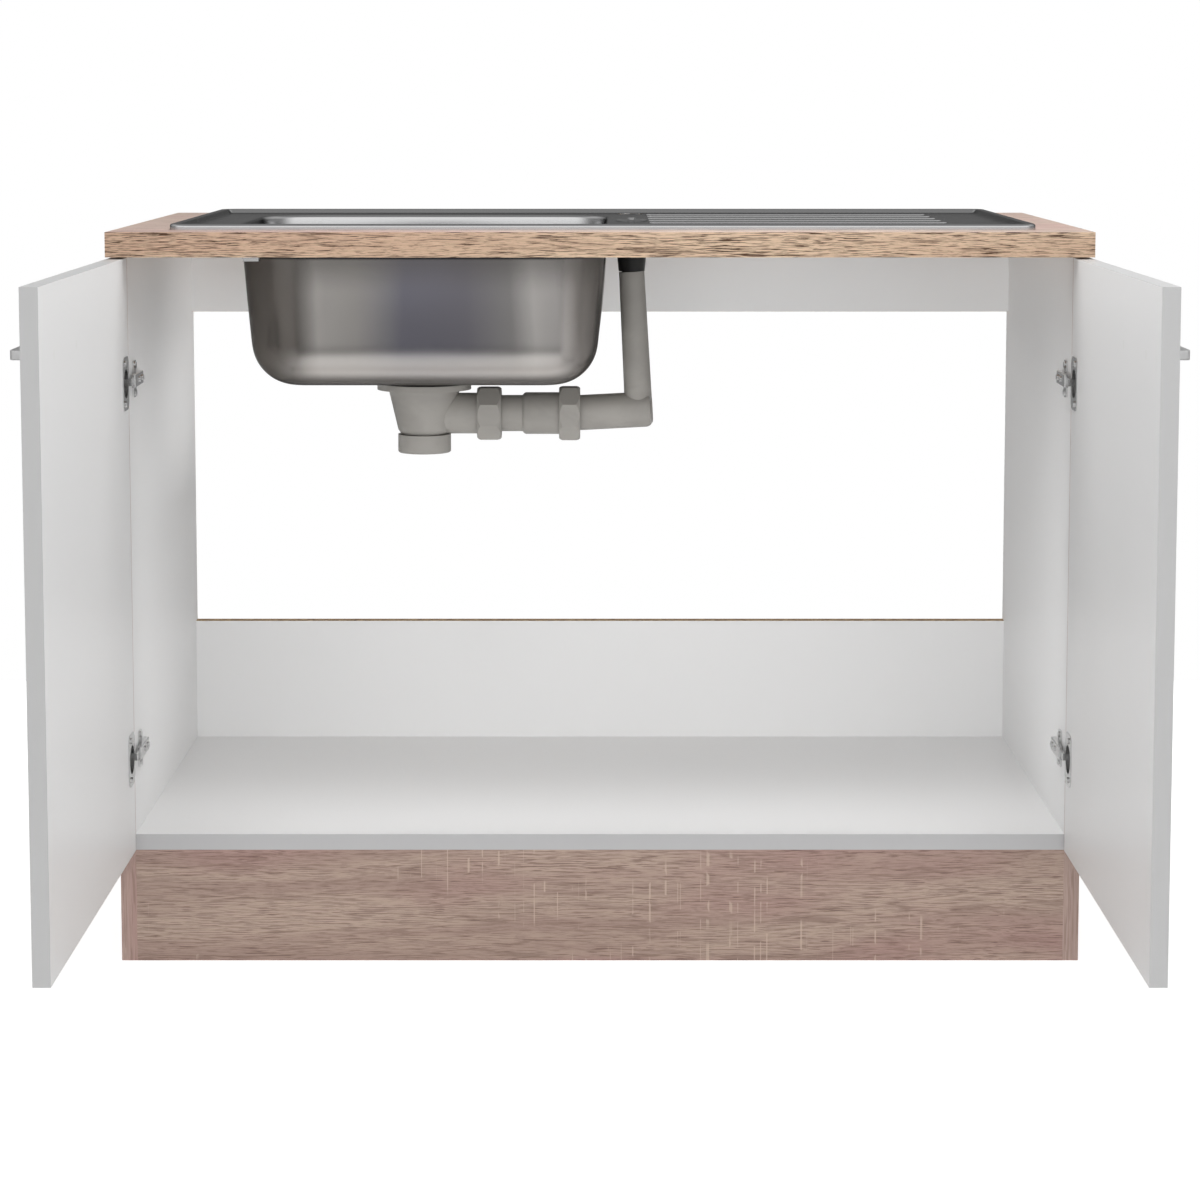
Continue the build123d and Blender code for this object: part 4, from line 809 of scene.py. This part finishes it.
def join_sheets(name, sheets):
    """One smooth mesh from several sheets, joined where they meet."""
    vertices, faces, first = [], [], 0
    for points, cells in sheets:
        vertices.append(points)
        faces += [[corner + first for corner in cell] for cell in cells]
        first += len(points)
    mesh = bpy.data.meshes.new(name)
    mesh.from_pydata(np.concatenate(vertices).tolist(), [], faces)
    work = bmesh.new()
    work.from_mesh(mesh)
    bmesh.ops.remove_doubles(work, verts=work.verts, dist=2e-6)
    bmesh.ops.dissolve_degenerate(work, edges=work.edges, dist=speck)
    work.to_mesh(mesh)
    work.free()
    shade_smooth(mesh)
    return mesh


ring = flat_sheet(cone[0][:, :2], [cone[1][:, :2]], 0.0)
print("triangles between the cone's two circles:", len(ring[1]))

# %% [markdown]
# ## The sink
#
# The sink is pressed from one sheet of steel 1 mm thick: a raised rim, a sunk deck, a deep bowl
# with slanting walls and a wide floor rounding, a sunk seat for the waste, and six ribs on the
# drainer. Polished steel shows every facet and every jump in a curve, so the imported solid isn't
# enough here. The upper skin is built from the loops above, and Solidify adds the thickness below
# it.

# %% Sink sizes
sink_low, sink_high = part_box("sink_pressing")
sink_middle = np.array([(sink_low.x + sink_high.x) / 2, (sink_low.y + sink_high.y) / 2])
sink_size = (sink_high.x - sink_low.x, sink_high.y - sink_low.y)
rim_top = sink_high.z
deck_drop = 5 * mm
deck_z = rim_top - deck_drop
sheet = 1.0 * mm
bowl_size = (426 * mm, 370 * mm)
bowl_drop = 186 * mm
waste = np.array([-212.0, 230.0]) * mm
overflow = np.array([38.0, 230.0]) * mm
overflow_radius = 15 * mm
tap_hole = np.array([38.0, 455.0]) * mm
tap_hole_radius = 17.5 * mm
print("sink:", np.round(sink_size, 3).tolist(), "deck at:", round(deck_z, 4))

# %% [markdown]
# The rim stands on the worktop, rounds over, runs level for a few millimetres and slopes down to
# the deck. From outside to inside its profile is four short stretches.

# %% Rim
outline_corner = 22 * mm
rim_round = 3 * mm
rim_crown = 9.5 * mm
slope_end = 16.5 * mm
rim_width = 18 * mm

outline = rounded_loop(*sink_size, outline_corner, sink_middle)
rim_profile = np.concatenate([
    [(0, worktop_high)],
    arc(-rim_round, rim_top - rim_round, rim_round, 0, 90, 10),
    arc(-rim_crown, rim_top - rim_round, rim_round, 90, 140, 6),
    arc(-slope_end, deck_z + rim_round, rim_round, -40, -90, 6),
    [(-rim_width, deck_z)],
])
rim = carry(outline, rim_profile)
print("rim rows and columns:", rim.shape[:2])

# %% [markdown]
# The bowl's wall leans in a little, and more towards the floor, then turns in a wide bend. Straight
# wall, arc and floor would show as three bands in the steel, because the curvature jumps between
# them. So the profile is walked: its lean grows smoothly, and each step follows the lean.

# %% Bowl
def wall_profile(start, drop, first, last, radius, ease, wall_steps=24, bend_steps=56):
    """Wall and floor rounding as one smooth line. Its lean from the plumb line grows gently down
    the wall, then turns to the level floor in an eased bend. The points are the running sums of
    sin(lean) inwards and cos(lean) downwards."""
    turned, step = eased_turn(math.pi / 2 - last, radius, ease, bend_steps)
    bend = last + turned
    bend_drop = np.sum(np.cos((bend[1:] + bend[:-1]) / 2)) * step
    length = (drop - bend_drop) * (last - first) / (math.sin(last) - math.sin(first))
    wall = np.linspace(first, last, wall_steps + 1)
    lean = np.concatenate([(wall[1:] + wall[:-1]) / 2, (bend[1:] + bend[:-1]) / 2])
    steps = np.concatenate([np.full(wall_steps, length / wall_steps), np.full(bend_steps, step)])
    inwards, downwards = np.cumsum(np.sin(lean) * steps), np.cumsum(np.cos(lean) * steps)
    return np.stack([start[0] - inwards, start[1] - downwards], 1)


mouth_corner = 75 * mm
mouth_ease = 20 * mm
lip = 4 * mm
lip_width = 3 * mm
mean_lean = math.radians(4.5)
first_lean = math.radians(4.2)
last_lean = math.radians(5.4)
floor_radius = 50 * mm
floor_ease = 18 * mm
wall_swell = 1.6 * mm
swell_end = 30 * mm

mouth = rounded_loop(*bowl_size, mouth_corner, bowl_middle, 32, 24, mouth_ease)
lip_out = lip * (1 - math.sin(mean_lean)) / math.cos(mean_lean)
lip_arc = arc(lip_out, deck_z - lip, lip, 90, 180 - math.degrees(first_lean), 12)
wall_drop = lip_arc[-1, 1] - (deck_z - bowl_drop)
wall = wall_profile(lip_arc[-1], wall_drop, first_lean, last_lean, floor_radius, floor_ease)
bowl_profile = np.concatenate([[(lip_out + lip_width, deck_z)], lip_arc, wall])
fallen = deck_z - lip - bowl_profile[:, 1]
depth_share = np.clip(fallen / (bowl_drop - lip - swell_end), 0, 1)
bowl = carry(mouth, bowl_profile, wall_swell * np.sin(np.pi * depth_share))
floor_z = bowl_profile[-1, 1]
print("bowl floor:", round(floor_z, 4), "inward run:", round(float(bowl_profile[-1, 0]), 4))

# %% [markdown]
# The waste sits in a round seat that is pressed 3 mm into the floor, so that water runs into it.

# %% Waste seat
seat_radius = 60 * mm
seat_drop = 3 * mm
seat_round = 1.2 * mm
seat_margin = 4 * mm
seat_step = 3 * mm
seat_width = 15 * mm

seat_z = floor_z - seat_drop
seat_profile = np.concatenate([
    [(seat_margin, floor_z)],
    arc(seat_round, floor_z - seat_round, seat_round, 90, 180, 5),
    arc(-seat_round, seat_z + seat_round, seat_round, 0, -90, 5),
    [(-seat_step, seat_z), (-seat_width, seat_z)],
])
waste_seat = carry(circle_loop(seat_radius, waste), seat_profile)
print("seat height:", round(seat_z, 4))

# %% [markdown]
# Each rib of the drainer is a long low ridge with round ends. Its profile rises from the deck in a
# small hollow, turns over a round shoulder and closes along the rib's middle line.

# %% Ribs
rib_count = 6
rib_spacing = 63 * mm
rib_length = 350 * mm
rib_width = 16 * mm
rib_height = 1.7 * mm
rib_foot = 2.6 * mm
rib_hollow = 0.6 * mm
hollow_out = 0.97 * mm
rib_shoulder = 1.3 * mm
shoulder_in = 0.92 * mm
crest_step = 5 * mm
ribs_middle = np.array([233.0, 250.0]) * mm

rib_top = deck_z + rib_height
rib_profile = np.concatenate([
    [(rib_foot, deck_z)],
    arc(hollow_out, deck_z + rib_hollow, rib_hollow, -90, -170, 6),
    arc(-shoulder_in, rib_top - rib_shoulder, rib_shoulder, 5, 90, 8),
    [(-crest_step, rib_top), (-rib_width / 2, rib_top)],
])
ribs = []
for i in range(rib_count):
    middle = ribs_middle + (0, rib_spacing * (i - (rib_count - 1) / 2))
    rib_loop = rounded_loop(rib_length, rib_width, rib_width / 2, middle, 10, 24)
    ribs.append(carry(rib_loop, rib_profile))
print("ribs:", len(ribs), "points in each:", ribs[0].shape[0] * ribs[0].shape[1])

# %% [markdown]
# The deck and the bowl's floor are flat, with holes where the bowl, the ribs, the waste's seat, the
# overflow and the tap come through. Their triangles run from loop to loop, so they meet the curved
# sheets point by point, and joining the doubles makes one skin.

# %% Deck, floor and the whole sink
deck_holes = [
    bowl[0][:, :2], *(rib[0][:, :2] for rib in ribs),
    circle_loop(overflow_radius, overflow)[0], circle_loop(tap_hole_radius, tap_hole)[0],
]
deck = flat_sheet(rim[-1][:, :2], deck_holes, deck_z)
bowl_floor = flat_sheet(bowl[-1][:, :2], [waste_seat[0][:, :2]], floor_z)

sheets = [quads(rim), deck, quads(bowl), bowl_floor, quads(waste_seat), *map(quads, ribs)]
sink = bpy.data.objects.new("sink", join_sheets("sink", sheets))
for finish in (steel_top, steel_under):
    sink.data.materials.append(finish.material)
bpy.context.scene.collection.objects.link(sink)
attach(sink, "cabinet")
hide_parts("sink_pressing")

thickness = sink.modifiers.new("sheet_thickness", "SOLIDIFY")
thickness.thickness = sheet
thickness.offset = -1.0
thickness.material_offset = 1
keep_crisp(sink, sink_limit)
print("sink faces:", len(sink.data.polygons))

# %% [markdown]
# ## Floor and backdrop
#
# The photograph has a white background and almost no shadow. A floor that is lit to white would
# need far too much light on the cupboard. So the floor is a pale paper that keeps the soft shadow,
# and it glows a little for the camera only. Polished steel mirrors the floor too, and for it the
# paper fades to grey with the distance.

# %% Floor
def grey(level):
    """Plain grey of a linear level."""
    return (level, level, level, 1.0)


floor_reach = 1.7
signs = [(-1, -1), (1, -1), (1, 1), (-1, 1)]
floor_corners = [(floor_reach * x, floor_reach * y, 0) for x, y in signs]
floor_mesh = bpy.data.meshes.new("floor")
floor_mesh.from_pydata(floor_corners, [], [(0, 1, 2, 3)])
floor = bpy.data.objects.new("floor", floor_mesh)
bpy.context.scene.collection.objects.link(floor)

paper = Finish("floor_paper", roughness=0.9, emission_color=grey(1.0))
far = paper.node("ShaderNodeVectorMath", {"operation": "LENGTH"}, {0: paper.place}, "Value")
fading = paper.node("ShaderNodeLightPath", out="Is Glossy Ray") * paper.rise(far, 0.7, floor_reach)
camera_glow = paper.node("ShaderNodeLightPath", out="Is Camera Ray") * 0.7
paper.set(base_color=paper.mix(fading, grey(0.74), grey(0.2)), emission_strength=camera_glow)
floor_mesh.materials.append(paper.material)
print("floor paper to", floor_reach, "m each way")

# %% [markdown]
# ## The studio round the unit
#
# The world is white to the camera and lights the unit evenly. What polished steel mirrors is a
# world of its own: in an even white one the sink would be a flat pale shape. The photograph's deck
# is dark and its rim and far wall are bright, so this world is white low in front, with a narrow
# grey gap at the horizon, has a faint band at half height all round, and is dim elsewhere.

# %% World
world = bpy.data.worlds.new("studio")
world.use_nodes = True
world.node_tree.nodes.clear()
bpy.context.scene.world = world
sky = Nodes(world.node_tree)


def background(strength):
    """White light of a strength."""
    return sky.node("ShaderNodeBackground", None, {"Color": grey(1.0), "Strength": strength})


up = sky.axis("Z")
in_front = sky.rise(sky.axis("Y"), 0.1, -0.5)
low_band = sky.rise(abs(up - 0.2), 0.50, 0.26)
horizon_gap = sky.rise(abs(up + 0.02), 0.10, 0.05)
half_height = sky.rise(abs(up - 0.45), 0.28, 0.14)
white_front = in_front * low_band * (1 - horizon_gap * 0.7) * 0.74
mirrored = background(sky.larger(white_front, half_height * 0.26) + 0.26)
ambient = background(0.385)
backdrop = background(1.0)

glossy_ray = sky.node("ShaderNodeLightPath", out="Is Glossy Ray")
camera_ray = sky.node("ShaderNodeLightPath", out="Is Camera Ray")
unseen = sky.node("ShaderNodeMixShader", None, {0: glossy_ray, 1: ambient, 2: mirrored})
surface = sky.node("ShaderNodeMixShader", None, {0: camera_ray, 1: unseen, 2: backdrop})
sky.node("ShaderNodeOutputWorld", None, {"Surface": surface})
print("nodes in the world:", len(sky.tree.nodes))


# %% [markdown]
# ## Lamps
#
# Large soft lamps stand above, in front, behind and at both sides, so that no face of the cupboard
# falls into shade. Two small ones light its inside: one fills the doorway, and one below the bowl
# reaches the corner that the bowl shades. The camera and the reflections don't see any of them,
# because the photograph shows no lamp in its steel.

# %% Lamps
def softbox(name, place, aim, size, power):
    """Rectangular lamp that points from its place at its aim. Its size is in metres, its power in
    watts."""
    lamp = bpy.data.lights.new(name, "AREA")
    lamp.shape = "RECTANGLE"
    lamp.size, lamp.size_y = size
    lamp.energy = power
    holder = bpy.data.objects.new(name, lamp)
    holder.location = place
    holder.rotation_euler = (Vector(aim) - Vector(place)).to_track_quat("-Z", "Y").to_euler()
    holder.visible_camera = False
    holder.visible_glossy = False
    bpy.context.scene.collection.objects.link(holder)
    return holder


lamps = [
    softbox("overhead", (0.18, -0.5, 1.9), (0.1, -0.5, 0.0), (2.2, 0.45), 20),
    softbox("low_front", (0.0, -4.2, 0.6), (0.0, 0.0, 0.5), (3.0, 1.1), 40),
    softbox("opening", (0.02, -0.02, 0.50), (0.02, 1.0, 0.50), (0.86, 0.58), 1.0),
    softbox("rear", (0.0, 3.2, 1.3), (0.0, 0.3, 0.5), (2.4, 1.2), 22),
    softbox("under_corner", (-0.25, 0.42, 0.48), (-0.25, 0.42, 1.0), (0.16, 0.16), 0.6),
    softbox("left_side", (-3.0, -0.2, 1.2), (0.0, 0.0, 0.5), (1.4, 1.4), 13),
    softbox("right_side", (3.0, -0.2, 1.2), (0.0, 0.0, 0.5), (1.4, 1.4), 13),
]
print("lamps:", len(lamps), "watts:", round(sum(holder.data.energy for holder in lamps), 1))

# %% [markdown]
# ## The view
#
# The picture uses the Standard view, so a colour shows about as it is written.

# %% View
bpy.context.scene.view_settings.view_transform = "Standard"
